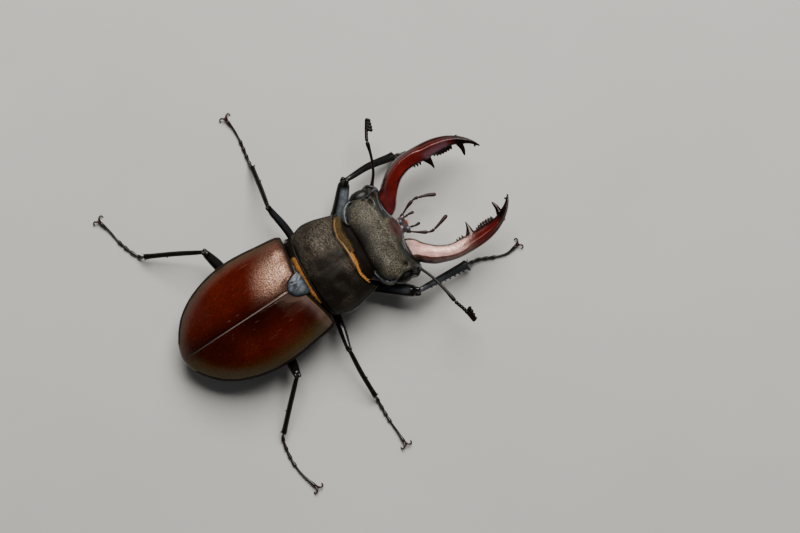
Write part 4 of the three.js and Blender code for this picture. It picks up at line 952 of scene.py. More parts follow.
# ------------------------------------------------------------------ head
# the capsule is worked out about its own middle line, which lies a little to the right of the body's
CAPSULE_SHIFT = HEAD_SHIFT - 0.35
HEAD_SIDE = [[6.5, -37.75], [7.45, -38.35], [8.15, -39.2], [8.4, -40.2], [8.6, -41.2], [8.75, -42.1], [8.62, -42.9], [8.75, -43.7], [8.95, -44.3], [8.6, -45.0], [7.85, -45.5]]
HEAD_FRONT = [[0, -45.78], [0.9, -45.7], [1.5, -45.5], [2.1, -45.3], [2.9, -45.0], [4.1, -44.78], [5.4, -44.88], [6.4, -45.2], [7.1, -45.42], [7.85, -45.5]]
HEAD_REAR = [[0, -37.35], [2.2, -37.35], [4.2, -37.3], [5.3, -37.42], [6.5, -37.75]]
head_plan = patch(across(HEAD_FRONT), across(HEAD_REAR), mirror(HEAD_SIDE[::-1]), HEAD_SIDE[::-1])
head_top = keys([[-45.9, HEAD_TOP - 2.9], [-45.3, HEAD_TOP - 2.1], [-44.8, HEAD_TOP - 1.5], [-44.2, HEAD_TOP - 0.95], [-43.4, HEAD_TOP - 0.22], [-42.6, HEAD_TOP - 0.2], [-40, HEAD_TOP], [-38.6, HEAD_TOP - 0.3], [-37.3, HEAD_TOP - 1.1]])
head_edge = keys([[-45.9, 8.3], [-44, 9.5], [-42, 9.6], [-37.3, 9.3]])
brow = keys([[-45.3, 7.85], [-44.4, 7.66], [-43.3, 7.42], [-42.4, 7.34], [-41.7, 7.5], [-40.8, 7.8], [-39.9, 8.1], [-39.2, 8.3]])      # sharp side edge over the eye
CREST = [[8.1, -39.9], [7.8, -40.8], [7.5, -41.7], [7.3, -42.4], [6.75, -42.85], [6.15, -43.1]]
CANTHUS = [[7.34, -42.4], [7.42, -43.3], [7.66, -44.4], [7.85, -45.2]]
OCCIPUT = [[8.1, -40.1], [7.92, -39.35], [7.35, -38.6], [6.35, -38.03], [5.2, -37.75], [4.3, -37.78]]
OCCIPUT_GROOVE = [[7.72, -40.1], [7.55, -39.5], [7.05, -38.93], [6.2, -38.42], [5.2, -38.15], [4.4, -38.15]]


def epistome(x, y):
    rear = -43.72 - 0.14 * x * x
    return smooth(2.15, 1.45, np.abs(x) - 0.28 * (-44.2 - y)) * smooth(0.35, -0.75, y - rear) * smooth(-45.80, -45.60, y)


def head_sheet(u, v, side):
    q = head_plan(u, v)
    x, y = q[..., 0], q[..., 1]
    ax = np.abs(x)
    e = np.minimum(head_edge(y), head_top(y) - 0.1)
    if side > 0:
        z = e + (head_top(y) - e) * dome(2 * u - 1, 4, 1.7) - 0.25 * smooth(0.95, 1, v)
        df = poly_dist(ax, y, HEAD_FRONT)
        jaw = smooth(1.9, 2.6, ax) * smooth(7.5, 7.0, ax)
        z = z + (0.20 * bell(df - 0.13, 0.11) - 0.20 * bell(df - 0.50, 0.25)) * jaw                  # rim over each mandible
        beyond = smooth(0.06, 0.42, ax - brow(y)) * smooth(-39.3, -40.3, y) * smooth(-45.1, -44.4, y)
        z = z - (0.95 + 0.5 * smooth(0.3, 1.2, ax - brow(y))) * beyond                               # lets the eye show outside the brow
        z = z + ridge(ax, y, CREST, 0.24, 0.17) * smooth(6.1, 6.9, ax) + ridge(ax, y, CANTHUS, 0.38, 0.20)
        z = z + 0.34 * np.exp(-((ax - 7.72) / 0.42) ** 2 - ((y + 44.85) / 0.45) ** 2)                # corner knob
        z = z + dent(ax, y, (6.32, -43.28), (0.62, 0.45), 0.75, 0.35)                                # pit in front of the disc
        z = z - 0.20 * np.exp(-((ax - 6.75) / 0.5) ** 2 - ((y + 44.35) / 0.5) ** 2)
        z = z + 0.055 * bell(y + 43.35 - 0.03 * ax ** 2, 0.60) * smooth(5.4, 4.0, ax)                # frontal ridge
        z = z - 0.22 * bell(y + 44.1 - 0.02 * ax ** 2, 0.40) * smooth(1.6, 2.4, ax) * smooth(6.3, 5.6, ax)
        z = z + 0.13 * np.exp(-((ax - 1.6) / 0.5) ** 2 - ((y + 42.75) / 0.42) ** 2)                  # two low knobs
        z = z + ridge(ax, y, OCCIPUT, 0.30, 0.17) * smooth(4.1, 4.9, ax) - ridge(ax, y, OCCIPUT_GROOVE, 0.26, 0.15) * smooth(4.3, 5.0, ax)
        z = z - 0.9 * smooth(-38.5, -37.5, y) * smooth(5.2, 4.2, ax)                                 # disc dips under the pronotum
        z = z + dent(ax, y, (3.0, -41.4), (1.5, 1.0), 0.10) + dent(x, y, (0, -41.6), (0.5, 1.8), 0.05)
        z = z + 0.10 * np.exp(-((ax - 5.8) / 1.3) ** 2 - ((y + 40.4) / 1.2) ** 2)
        z = z + 0.05 * ripple(x, y, 1.3, 7) * smooth(0.1, 0.7, df) + 0.012 * ripple(x, y, 5.0, 71)
        epi = epistome(x, y)
        z = z - 0.12 * epi * smooth(1.6, 0.6, ax) + 0.07 * bell(epi - 0.5, 0.35)
        z = z + 0.17 * bell(df - 0.12, 0.09) * smooth(2.1, 1.6, ax)
    else:
        bottom = e - 1.0 - HEAD_BOTTOM - 0.8 * smooth(-43.5, -45.9, y)
        z = e - 1.0 - bottom * dome(2 * u - 1, 2.6, 1.6)
        z = z + 0.16 * bell(ax - 1.7 - 0.12 * (y + 42), 0.13) * smooth(-45.5, -44.5, y) + 0.03 * ripple(x, y, 1.4, 8)
        z = z + 0.05 * np.sin((y + 38) * 14) * smooth(-40.2, -38.4, y) * smooth(5, 3, ax) - 0.12 * bell(y + 44.6, 0.35) * smooth(4.2, 3.2, ax)
    return np.stack([x, y, z], -1)


head = pillow(250, 180, head_sheet, lambda t: t * 0.75 + even(t) * 0.25, plain, rim=5, bead=0.14)
_x, _y, _z = head[0].T
_ax = np.abs(_x)
_up = (_z > 8.6) * 1.0
_df = poly_dist(_ax, _y, HEAD_FRONT)
_red = np.clip(0.86 * epistome(_x, _y) * (1 + 0.30 * ripple(_x, _y, 2.4, 29)), 0, 1) * _up
_purple = 0.16 * np.exp(-((_ax - 7.05) / 0.35) ** 2 - ((_y + 44.15) / 0.45) ** 2) * _up
_front = smooth(0.33, 0.16, _df) * _up * smooth(7.3, 6.9, _ax)
# painted highlights: occipital rim line, front rim line and a glint on the corner knob
_rim_highlight = np.maximum.reduce([
    0.95 * smooth(0.19, 0.08, poly_dist(_ax, _y, OCCIPUT)) * smooth(4.4, 5.2, _ax) * np.where(_x > 0, 1.0, 0.30 + 0.70 * smooth(6.6, 5.4, _ax)),
    0.62 * _front * smooth(5.6, 3.8, _ax) * smooth(1.4, 2.2, _ax) + 0.5 * _front * smooth(2.2, 1.4, _ax),
    0.45 * np.exp(-((_ax - 7.75) / 0.32) ** 2 - ((_y + 44.9) / 0.35) ** 2)]) * _up
_slate = np.maximum(bell(_y + 44.15, 0.62) * smooth(6.5, 5.9, _ax) * smooth(2.0, 2.9, _ax), 0.75 * smooth(1.1, 0.35, poly_dist(_ax, _y, OCCIPUT_GROOVE)) * smooth(4.8, 5.6, _ax))
_plain = np.maximum.reduce([
    smooth(0.50, 0.25, _df), 0.9 * smooth(0.36, 0.16, poly_dist(_ax, _y, CANTHUS)), smooth(0.42, 0.24, poly_dist(_ax, _y, OCCIPUT)) * smooth(4.4, 5.2, _ax),
    0.8 * smooth(-0.05, 0.30, _ax - brow(_y)) * (_y < -39.6)])
# dark fields: pit before the disc, canthus corner, eye field outside the brow, occipital groove; painted shade where
# the disc dips under the pronotum and over the rear and right
_dark_and_shade = np.maximum.reduce([
    np.clip(1.25 * np.exp(-((_ax - 6.35) / 0.50) ** 2 - ((_y + 43.32) / 0.38) ** 2), 0, 1) * _up,
    smooth(-38.35 + 0.12 * ripple(_x, _y, 1.6, 19), -37.85, _y) * smooth(5.3, 4.3, _ax),
    (0.72 * smooth(-41.2, -38.4, _y) * smooth(6.6, 4.2, _ax) + 0.30 * np.exp(-((_ax - 2.2) / 1.6) ** 2 - ((_y + 44.2) / 0.7) ** 2) + 0.20 * ripple(_x, _y, 0.9, 23) - 0.32 * smooth(3.3, 5.6, _x) + 0.07 + 0.12 * np.exp(-((_x - 0.5) / 2.2) ** 2 - ((_y + 40.4) / 1.5) ** 2)) * _up,
    np.clip(0.88 * np.exp(-((_ax - 7.0) / 0.95) ** 2 - ((_y + 44.35) / 0.75) ** 2) * (1 + 0.25 * ripple(_x, _y, 3.2, 91)), 0, 0.94) * _up,
    0.75 * smooth(0.0, 0.35, _ax - brow(_y)) * (_y < -39.6) * (_y > -43.6),
    0.9 * smooth(0.20, 0.06, poly_dist(_ax, _y, OCCIPUT_GROOVE)) * smooth(4.6, 5.4, _ax)])
piece("head_capsule", turn(head, CAPSULE_SHIFT), M_HEAD, "head",
      {"plain": _plain, "red": np.maximum(_red, _purple), "pit_and_shade": np.clip(_dark_and_shade, 0, 1) * (1 - 0.8 * _rim_highlight), "slate": np.clip(_slate, 0, 1), "rim": _rim_highlight})

for side, s in (("left", 1), ("right", -1)):
    V, Q, T = ball([0, 0, 0], [1, 1, 1], 96, 64)
    V = V * np.array([1.30, 2.05, 1.30]) + np.array([7.92, -42.0, 9.05])
    eye = (V, Q, T)
    bar = rod([[8.25, -45.05, 9.7], [8.85, -44.45, 9.65], [9.08, -43.95, 9.6], [8.95, -43.35, 9.75], [8.75, -42.9, 9.85]], [[0, 0.30], [0.4, 0.26], [1, 0.12]], 40, 22, flat=0.8)
    if s < 0:
        eye, bar = flip(eye), flip(bar)
    piece("eye_ball_" + side, turn(eye, CAPSULE_SHIFT), M_EYE, "eye_" + side)
    piece("eye_bar_" + side, turn(bar, CAPSULE_SHIFT), M_HEAD, (), {"plain": 0.9, "slate": 0.0, "red": 0.0, "rim": 0.0, "pit_and_shade": 0.55})

# ------------------------------------------------------------------ mandibles
jaw_outer = Curve([[6.85, -44.75], [7.35, -45.75], [8.12, -46.6], [9.15, -48.0], [10.0, -50.0], [10.5, -52.05], [10.6, -54.8], [10.4, -57.8], [9.75, -60.2], [8.7, -62.2], [7.5, -63.6], [6.2, -64.62], [5.0, -65.2]])
jaw_inner = Curve([[2.15, -44.9], [2.6, -46.0], [3.35, -46.9], [4.6, -47.8], [6.05, -49.2], [6.95, -50.5], [7.55, -52.3], [7.6, -54.8], [7.6, -57.6], [7.6, -59.6], [7.3, -61.4], [6.7, -62.7], [6.0, -63.9], [4.9, -65.0]])
jaw_height = keys([[0, 1.95], [0.2, 1.9], [0.42, MANDIBLE_H * 0.78], [0.7, MANDIBLE_H * 0.62], [0.9, MANDIBLE_H * 0.42], [1, 0.2]])
jaw_z = keys([[0, MANDIBLE_Z - 0.3], [0.3, MANDIBLE_Z - 0.1], [0.6, MANDIBLE_Z], [1, MANDIBLE_Z + 0.6]])
jaw_near = keys([[0, 0.0], [0.025, 0.36], [0.07, 0.54], [0.4, 0.76], [0.6, 0.93], [0.70, 1.0], [0.79, 0.86], [0.9, 0.5], [0.965, 0.26], [1, 0.0]])      # section of the basal half
jaw_far = keys([[0, 0.0], [0.05, 0.34], [0.14, 0.50], [0.34, 0.70], [0.52, 0.96], [0.60, 1.0], [0.70, 0.88], [0.86, 0.50], [0.96, 0.28], [1, 0.0]])    # and of the end half


def jaw_sheet(u, v, side):
    a, b = jaw_inner.at(v), jaw_outer.at(v)
    q = a + (b - a) * u[..., None]
    h = jaw_height(v) * (0.80 + 0.20 * smooth(0, 0.014, v))
    if side > 0:
        w = smooth(0.42, 0.54, v)
        f = jaw_near(u) * (1 - w) + jaw_far(u) * w
    else:
        f = dome(2 * u - 1, 2.2, 1.7) * 0.95
    x, y = q[..., 0], q[..., 1]
    q[..., 2] = jaw_z(v) + side * (0.10 + (h - 0.10) * f)
    if side > 0:
        q[..., 2] += 0.02 * ripple(x, y, 1.4, 51) * np.sin(np.pi * u)
    return q


def thorn(path, r0, n=26, sides=20, tip=0.10, flat=0.9, power=0.75):
    c = Curve(path)
    t = np.linspace(0, 1, n)
    R = r0 * (tip + (1 - tip) * np.power(1 - t, power))
    R[-1] *= 0.4
    return tube(c, t, R, R * flat, sides)


jz = float(jaw_z(0.6))
jaw_parts = [
    pillow(80, 230, jaw_sheet, even, plain, rim=2, bead=0.03),
    thorn([[9.3, -55.5, jz + 0.05], [7.9, -55.82, jz + 0.12], [6.9, -56.05, jz + 0.12], [6.1, -56.15, jz + 0.12], [5.42, -56.14, jz + 0.12]], 1.55, n=44, power=1.3, tip=0.075, flat=0.62),
    thorn([[8.6, -61.8, jz + 0.1], [7.4, -62.08, jz + 0.25], [6.3, -62.25, jz + 0.3], [5.5, -62.14, jz + 0.35], [4.74, -61.93, jz + 0.35]], 0.74, n=40, power=0.62, tip=0.12),
    rod([[5.55, -64.35, jz + 0.5], [5.15, -64.3, jz + 0.5]], [[0, 0.20], [1, 0.14]], 12, 14),
]
for x, y, l, r in [(7.35, -53.3, 0.22, 0.17), (7.3, -53.85, 0.28, 0.19), (7.26, -54.4, 0.24, 0.18), (7.35, -57.35, 0.24, 0.20), (7.2, -57.85, 0.32, 0.23), (7.12, -58.38, 0.36, 0.24),
                   (7.08, -58.92, 0.38, 0.24), (7.04, -59.46, 0.36, 0.24), (7.0, -60.0, 0.32, 0.23), (6.95, -60.52, 0.26, 0.21)]:
    jaw_parts.append(thorn([[x + 0.75, y - 0.06, jz - 0.02], [x + 0.3, y - 0.02, jz], [x + 0.14 - l, y + 0.08, jz + 0.04]], r * 1.3, n=14, sides=14, tip=0.42, power=0.5))
jaw = blended(join(jaw_parts), 0.069, 3, 0.45)
_x, _y, _z = jaw[0].T
_line = jaw_inner.at(np.linspace(0, 1, 200))
_in = poly_dist(_x, _y, [list(p[:2]) for p in _line[::4]])
_inside = (_x < np.interp(-_y, -_line[:, 1], _line[:, 0])) * 1.0
_top = np.clip(normals(jaw)[:, 2], 0, 1)
_out = poly_dist(_x, _y, [list(p[:2]) for p in jaw_outer.at(np.linspace(0, 1, 50))])
# dark inner and outer edges, main tooth and tips; painted shade on the lower and downward-facing surfaces
_dark_and_shade = np.maximum.reduce([
    smooth(0.55, 0.10, _in) * smooth(-47.0, -49.5, _y) * 0.95,
    0.95 * smooth(0.42, 0.08, _out),
    smooth(0.0, 0.25, _inside * _in),
    smooth(7.9, 6.9, _x) * smooth(1.1, 0.3, np.abs(_y + 56.0)) * 1.0,
    1.3 * smooth(-60.6, -62.4, _y) * (1 - 0.5 * np.exp(-((_x - 8.0) / 0.5) ** 2 - ((_y + 62.0) / 0.7) ** 2)),
    0.7 * smooth(jz - 0.2, jz - 1.2, _z),
    0.16 * smooth(-55.0, -59.0, _y),
    0.9 * smooth(0.50, 0.1, _top) * smooth(jz + 0.6, jz - 0.2, _z)])


def swung(m, s):
    """The mandibles' roots sit a little to the right in the mouth, their ends do not."""
    V = m[0].copy()
    V[:, 0] -= 0.38 * smooth(-50.5, -45.5, V[:, 1])
    V[:, 1] += 0.03 * smooth(-60.0, -65.0, V[:, 1])
    return V, m[1], m[2]


# painted highlight over the right mandible's top face, brightest along the ridge to the main tooth
_lit = smooth(0.08, 0.24, _in) * smooth(0.16, 0.60, _out) * smooth(0.22, 0.60, _top) * smooth(-57.2, -53.6, _y) * (0.74 + 0.26 * smooth(-46.5, -49.5, _y)) * smooth(7.0, 7.9, _x + 0.9 * smooth(-53.0, -50.0, _y) + 4.0 * smooth(-50.5, -46.0, _y))
_ridge = bell(poly_dist(_x, _y, [[7.0, -56.0], [8.3, -55.3], [8.7, -53.6], [8.4, -51.4], [7.2, -49.2], [5.6, -47.2]]), 0.62)
_lit = np.clip(_lit * (0.43 + 0.62 * _ridge + 0.16 * ripple(_x, _y, 1.6, 83) + 0.13 * ripple(_x, _y, 3.6, 84)), 0, 1)
# painted lilac reflection on the left mandible's end half
_lilac = smooth(-54.9, -56.3, _y) * smooth(-61.0, -59.6, _y) * smooth(7.35, 7.75, _x) * smooth(9.3, 8.4, _x) * smooth(0.55, 0.85, _top) * 0.8
_lilac = np.maximum(_lilac, 0.10 * smooth(-47.9, -46.4, _y) * smooth(0.4, 0.8, _top))
# the left mandible also darker toward its outer side and base: painted shade
piece("mandible_horn_left", turn(swung(jaw, 1), HEAD_SHIFT), M_JAW, "mandible_left", {"dark": np.maximum.reduce([_dark_and_shade * (1 - 0.5 * _lilac), 0.50 * smooth(1.25, 0.35, _out), 0.22 * smooth(-49.6, -46.6, _y)]), "painted_sheen": _lilac})
# dark rims, and painted shade at the base where the painted highlight stops
_rim = np.maximum.reduce([0.95 * smooth(0.34, 0.16, _in), 0.9 * smooth(0.34, 0.10, _out), 0.8 * smooth(-46.6, -45.4, _y) * smooth(0.9, 0.2, _lit)])
piece("mandible_horn_right", turn(swung(flip(jaw), -1), HEAD_SHIFT), M_JAW_LIT, "mandible_right", {"dark": np.maximum(_dark_and_shade * (1 - 0.85 * _lit), _rim), "painted_sheen": _lit})

# ------------------------------------------------------------------ mouth parts


def labrum_sheet(u, v, side):
    s = 2 * u - 1
    x, y = -0.35 + s * (1.4 - 0.25 * v), -45.75 - 1.45 * v + 0.45 * bell(s - 0.1, 0.33) * v + 0.25 * s ** 2 * v
    z = 8.55 - 0.75 * v + side * (0.08 + 0.24 * dome(s, 2, 2) * dome(2 * v - 1, 2.5, 2)) - 0.12 * bell(s, 0.25) * side
    return np.stack([x, y, z], -1)


piece("labrum_plate", turn(pillow(56, 40, labrum_sheet, rim=3, bead=0.04), HEAD_SHIFT), M_MOUTH, "labrum")
lobes = blended(join([
    rod([[0.72, -46.05, 8.42], [0.28, -46.2, 8.52], [-0.18, -46.12, 8.45]], [[0, 0.26], [0.5, 0.33], [1, 0.24]], 30, 24, flat=0.8, ends=(0.9, 0.9)),
    rod([[-0.98, -46.55, 8.2], [-1.45, -46.78, 8.3], [-1.85, -46.85, 8.15]], [[0, 0.32], [0.5, 0.42], [1, 0.30]], 30, 24, flat=0.8, ends=(0.9, 0.9))]), 0.045, 2)
piece("mouth_lobes", turn(lobes, HEAD_SHIFT), M_LIP, ())
inner = blended(join([
    rod([[-0.3, -45.2, 6.9], [-0.3, -46.6, 6.7], [-0.3, -47.2, 6.6]], [[0, 1.4], [0.6, 1.1], [1, 0.7]], 24, 28, flat=0.5),
    rod([[0.55, -45.8, 6.5], [0.85, -46.8, 6.35], [0.95, -47.35, 6.35]], [[0, 0.55], [1, 0.34]], 20, 18),
    rod([[-1.15, -45.8, 6.5], [-1.5, -46.7, 6.35], [-1.75, -47.15, 6.35]], [[0, 0.55], [1, 0.34]], 20, 18)]), 0.07, 3)
piece("mouth_base", turn(inner, HEAD_SHIFT), M_MOUTH, ())


def segments(path, cuts, radii, n=18, sides=16, flat=1.0, ref=(0, 0, 1)):
    """Chain of small joints along one path: each narrow at its base and full near its end."""
    c, out = Curve(path), []
    for (a, b), (r0, r1) in zip(zip(cuts[:-1], cuts[1:]), radii):
        pts = c.at(np.linspace(a, b, 5))
        out.append(rod(pts, [[0, r0], [0.3, r0 * 1.05], [0.78, r1], [1, r1 * 0.86]], n, sides, ref, flat, (0.8, 0.9)))
    return out


PALPS = {
    "maxillary_palp_left": [[1.31, -47.24, 6.3], [2.04, -48.65, 6.28], [2.60, -50.25, 6.3], [2.43, -51.41, 6.25], [2.05, -52.7, 6.15], [1.38, -54.2, 6.0]],
    "maxillary_palp_right": [[-2.1, -46.9, 6.3], [-3.2, -48.6, 6.28], [-3.89, -50.09, 6.3], [-3.65, -51.48, 6.25], [-3.25, -52.7, 6.15], [-2.74, -54.05, 6.0]],
    "labial_palp_left": [[0.67, -47.2, 5.6], [0.78, -48.2, 5.5], [0.67, -49.22, 5.4]],
    "labial_palp_right": [[-1.3, -47.2, 5.6], [-1.56, -48.2, 5.5], [-1.52, -49.21, 5.4]],
}
for name, path in PALPS.items():
    path = [[path[0][0] * 0.8, path[0][1] + 0.75, path[0][2]]] + path
    if name.startswith("max"):
        m = join(segments(path, [0, 0.12, 0.46, 0.61, 1.0], [(0.24, 0.28), (0.19, 0.34), (0.20, 0.31), (0.25, 0.37)]))
    else:
        m = join(segments(path, [0, 0.28, 0.56, 1.0], [(0.21, 0.25), (0.17, 0.25), (0.21, 0.285)]))
    piece(name + "_joints", turn(blended(m, 0.042, 2), HEAD_SHIFT), M_PALP, name)

# ------------------------------------------------------------------ antennae
unit = lambda v: np.array(v, float) / np.linalg.norm(v)
ANTENNAE = {
    "left": ([[7.7, -45.2, 7.85], [8.15, -45.7, 7.9], [9.7, -46.95, 8.35], [12.1, -48.1, 8.9], [14.85, -48.97, 9.1]],
             [[14.85, -48.97, 9.1], [15.35, -49.2, 9.05], [16.1, -49.65, 8.9], [17.2, -50.35, 8.7], [18.3, -51.05, 8.6]], unit([-0.80, -0.64, 0.0])),
    "right": ([[-7.6, -44.35, 7.8], [-9.3, -44.75, 7.9], [-11.6, -45.6, 8.45], [-14.8, -46.3, 8.9], [-17.4, -46.67, 9.1]],
              [[-17.4, -46.67, 9.1], [-18.0, -46.8, 9.05], [-19.1, -47.15, 8.9], [-20.6, -47.45, 8.7], [-22.3, -47.6, 8.6]], unit([0.4, -0.92, 0.0])),
}
for side, (scape, stalk, leaf) in ANTENNAE.items():
    sc = rod(scape, [[0, 0.27], [0.06, 0.36], [0.12, 0.28], [0.35, 0.255], [0.75, 0.27], [0.93, 0.38], [1, 0.34]], 100, 28, ends=(0.7, 0.8))
    piece("antenna_shaft_" + side, sc, M_FEELER, "antenna_scape_" + side, {"tip": smooth(0.2, 0.7, np.linalg.norm(sc[0] - A(scape[0]), axis=1) / 8)})
    c = Curve(stalk)
    club0 = 0.60
    parts = segments(stalk, [0.0, 0.13, 0.25, 0.37, 0.49, 0.61], [(0.32, 0.40), (0.31, 0.39), (0.31, 0.40), (0.32, 0.41), (0.33, 0.42)], 16, 16)
    parts.append(rod(c.at(np.linspace(0.0, 0.62, 8)), [[0, 0.29], [1, 0.31]], 40, 16))
    parts.append(rod(c.at(np.linspace(0.55, 0.995, 6)), [[0, 0.32], [1, 0.28]], 34, 16))
    for i, ln in enumerate([1.38, 1.28, 1.12, 0.98]):
        f = club0 + (0.385 if side == "left" else 0.37) * i / 3
        p, d = c.at(f), c.tangent(f)
        a, b = p - leaf * 0.18, p + leaf * (ln - 0.15) - d * 0.12
        parts.append(rod([a, (a + b) / 2 - d * 0.02, b], [[0, 0.24], [0.3, 0.30], [0.75, 0.36], [1, 0.30]], 28, 24, flat=1.45, ends=(0.9, 1.1)))
    club = blended(join(parts), 0.040, 1)
    d = np.linalg.norm(club[0] - c.at(0.0), axis=1)
    piece("antenna_joints_" + side, club, M_FEELER, "antenna_club_" + side, {"tip": smooth(1.6, 2.6, d)})

# ------------------------------------------------------------------ legs
LEGS = {
    "fore_left": dict(hip=[4.6, -33.5, 3.5], bend=[7.0, -37.7, 5.3], knee=[11.2, -41.8, KNEE["fore"]], shin=[11.2, -47.0, 4.5], ankle=[10.35, -51.9, 1.75], foot=[[10.25, -52.4, 0.7], [9.6, -54.4, 0.4], [8.9, -56.6, 0.36], [8.2, -58.6, 0.42], [7.6, -60.6, 0.6]], out=[1, 0.1], drop=-0.75, kind="fore"),
    "fore_right": dict(hip=[-4.8, -33.1, 3.5], bend=[-8.4, -37.4, 5.1], knee=[-12.35, -42.0, KNEE["fore"] - 0.6], shin=[-12.75, -47.2, 4.1], ankle=[-13.15, -52.4, 1.7], foot=[[-13.3, -53.0, 0.7], [-13.6, -54.5, 0.4], [-14.75, -57.0, 0.36], [-15.5, -59.3, 0.42], [-15.2, -61.5, 0.6]], out=[-1, 0.1], kind="fore"),
    "mid_left": dict(hip=[4.5, -27.0, 3.1], bend=[8.34, -28.4, 4.6], knee=[14.6, -27.85, KNEE["mid"] + 0.4], shin=[18.8, -28.6, 4.5], ankle=[22.9, -29.2, 1.6], foot=[[23.4, -29.1, 0.7], [25.2, -29.4, 0.4], [28.0, -29.9, 0.36], [30.3, -30.05, 0.42], [32.3, -29.9, 0.6]], out=[0, -1], kind="mid"),
    "mid_right": dict(hip=[-4.4, -26.8, 3.1], bend=[-8.0, -27.5, 4.4], knee=[-14.35, -26.15, KNEE["mid"] - 0.7], shin=[-19.3, -25.6, 3.95], ankle=[-24.3, -25.35, 1.6], foot=[[-24.9, -25.3, 0.7], [-26.9, -25.15, 0.4], [-29.3, -25.05, 0.36], [-31.6, -25.15, 0.42], [-34.0, -25.2, 0.6]], out=[0, -1], kind="mid"),
    "hind_left": dict(hip=[5.7, -15.3, 3.1], bend=[10.5, -14.7, 4.9], knee=[14.2, -13.95, KNEE["hind"] - 0.4], shin=[17.1, -8.9, 4.2], ankle=[19.75, -3.9, 1.6], foot=[[20.1, -3.3, 0.7], [21.9, -2.35, 0.4], [24.5, -1.55, 0.36], [27.0, -1.2, 0.42], [29.2, -0.65, 0.6]], out=[-0.86, 0.5], kind="hind"),
    "hind_right": dict(hip=[-5.7, -15.7, 3.1], bend=[-10.4, -16.2, 5.0], knee=[-13.2, -15.95, KNEE["hind"] - 0.2], shin=[-17.2, -11.6, 4.3], ankle=[-20.9, -7.7, 1.6], foot=[[-21.5, -7.1, 0.7], [-23.6, -6.55, 0.4], [-26.3, -6.25, 0.36], [-29.0, -6.5, 0.42], [-32.0, -7.4, 0.6]], out=[0.7, 0.7], kind="hind"),
}
FEMUR_R = {"fore": 1.25, "mid": 0.70, "hind": 0.94}


def on_floor(m):
    V, Q, T = m
    V = V.copy()
    V[:, 2] = np.maximum(V[:, 2], 0.0)
    return V, Q, T


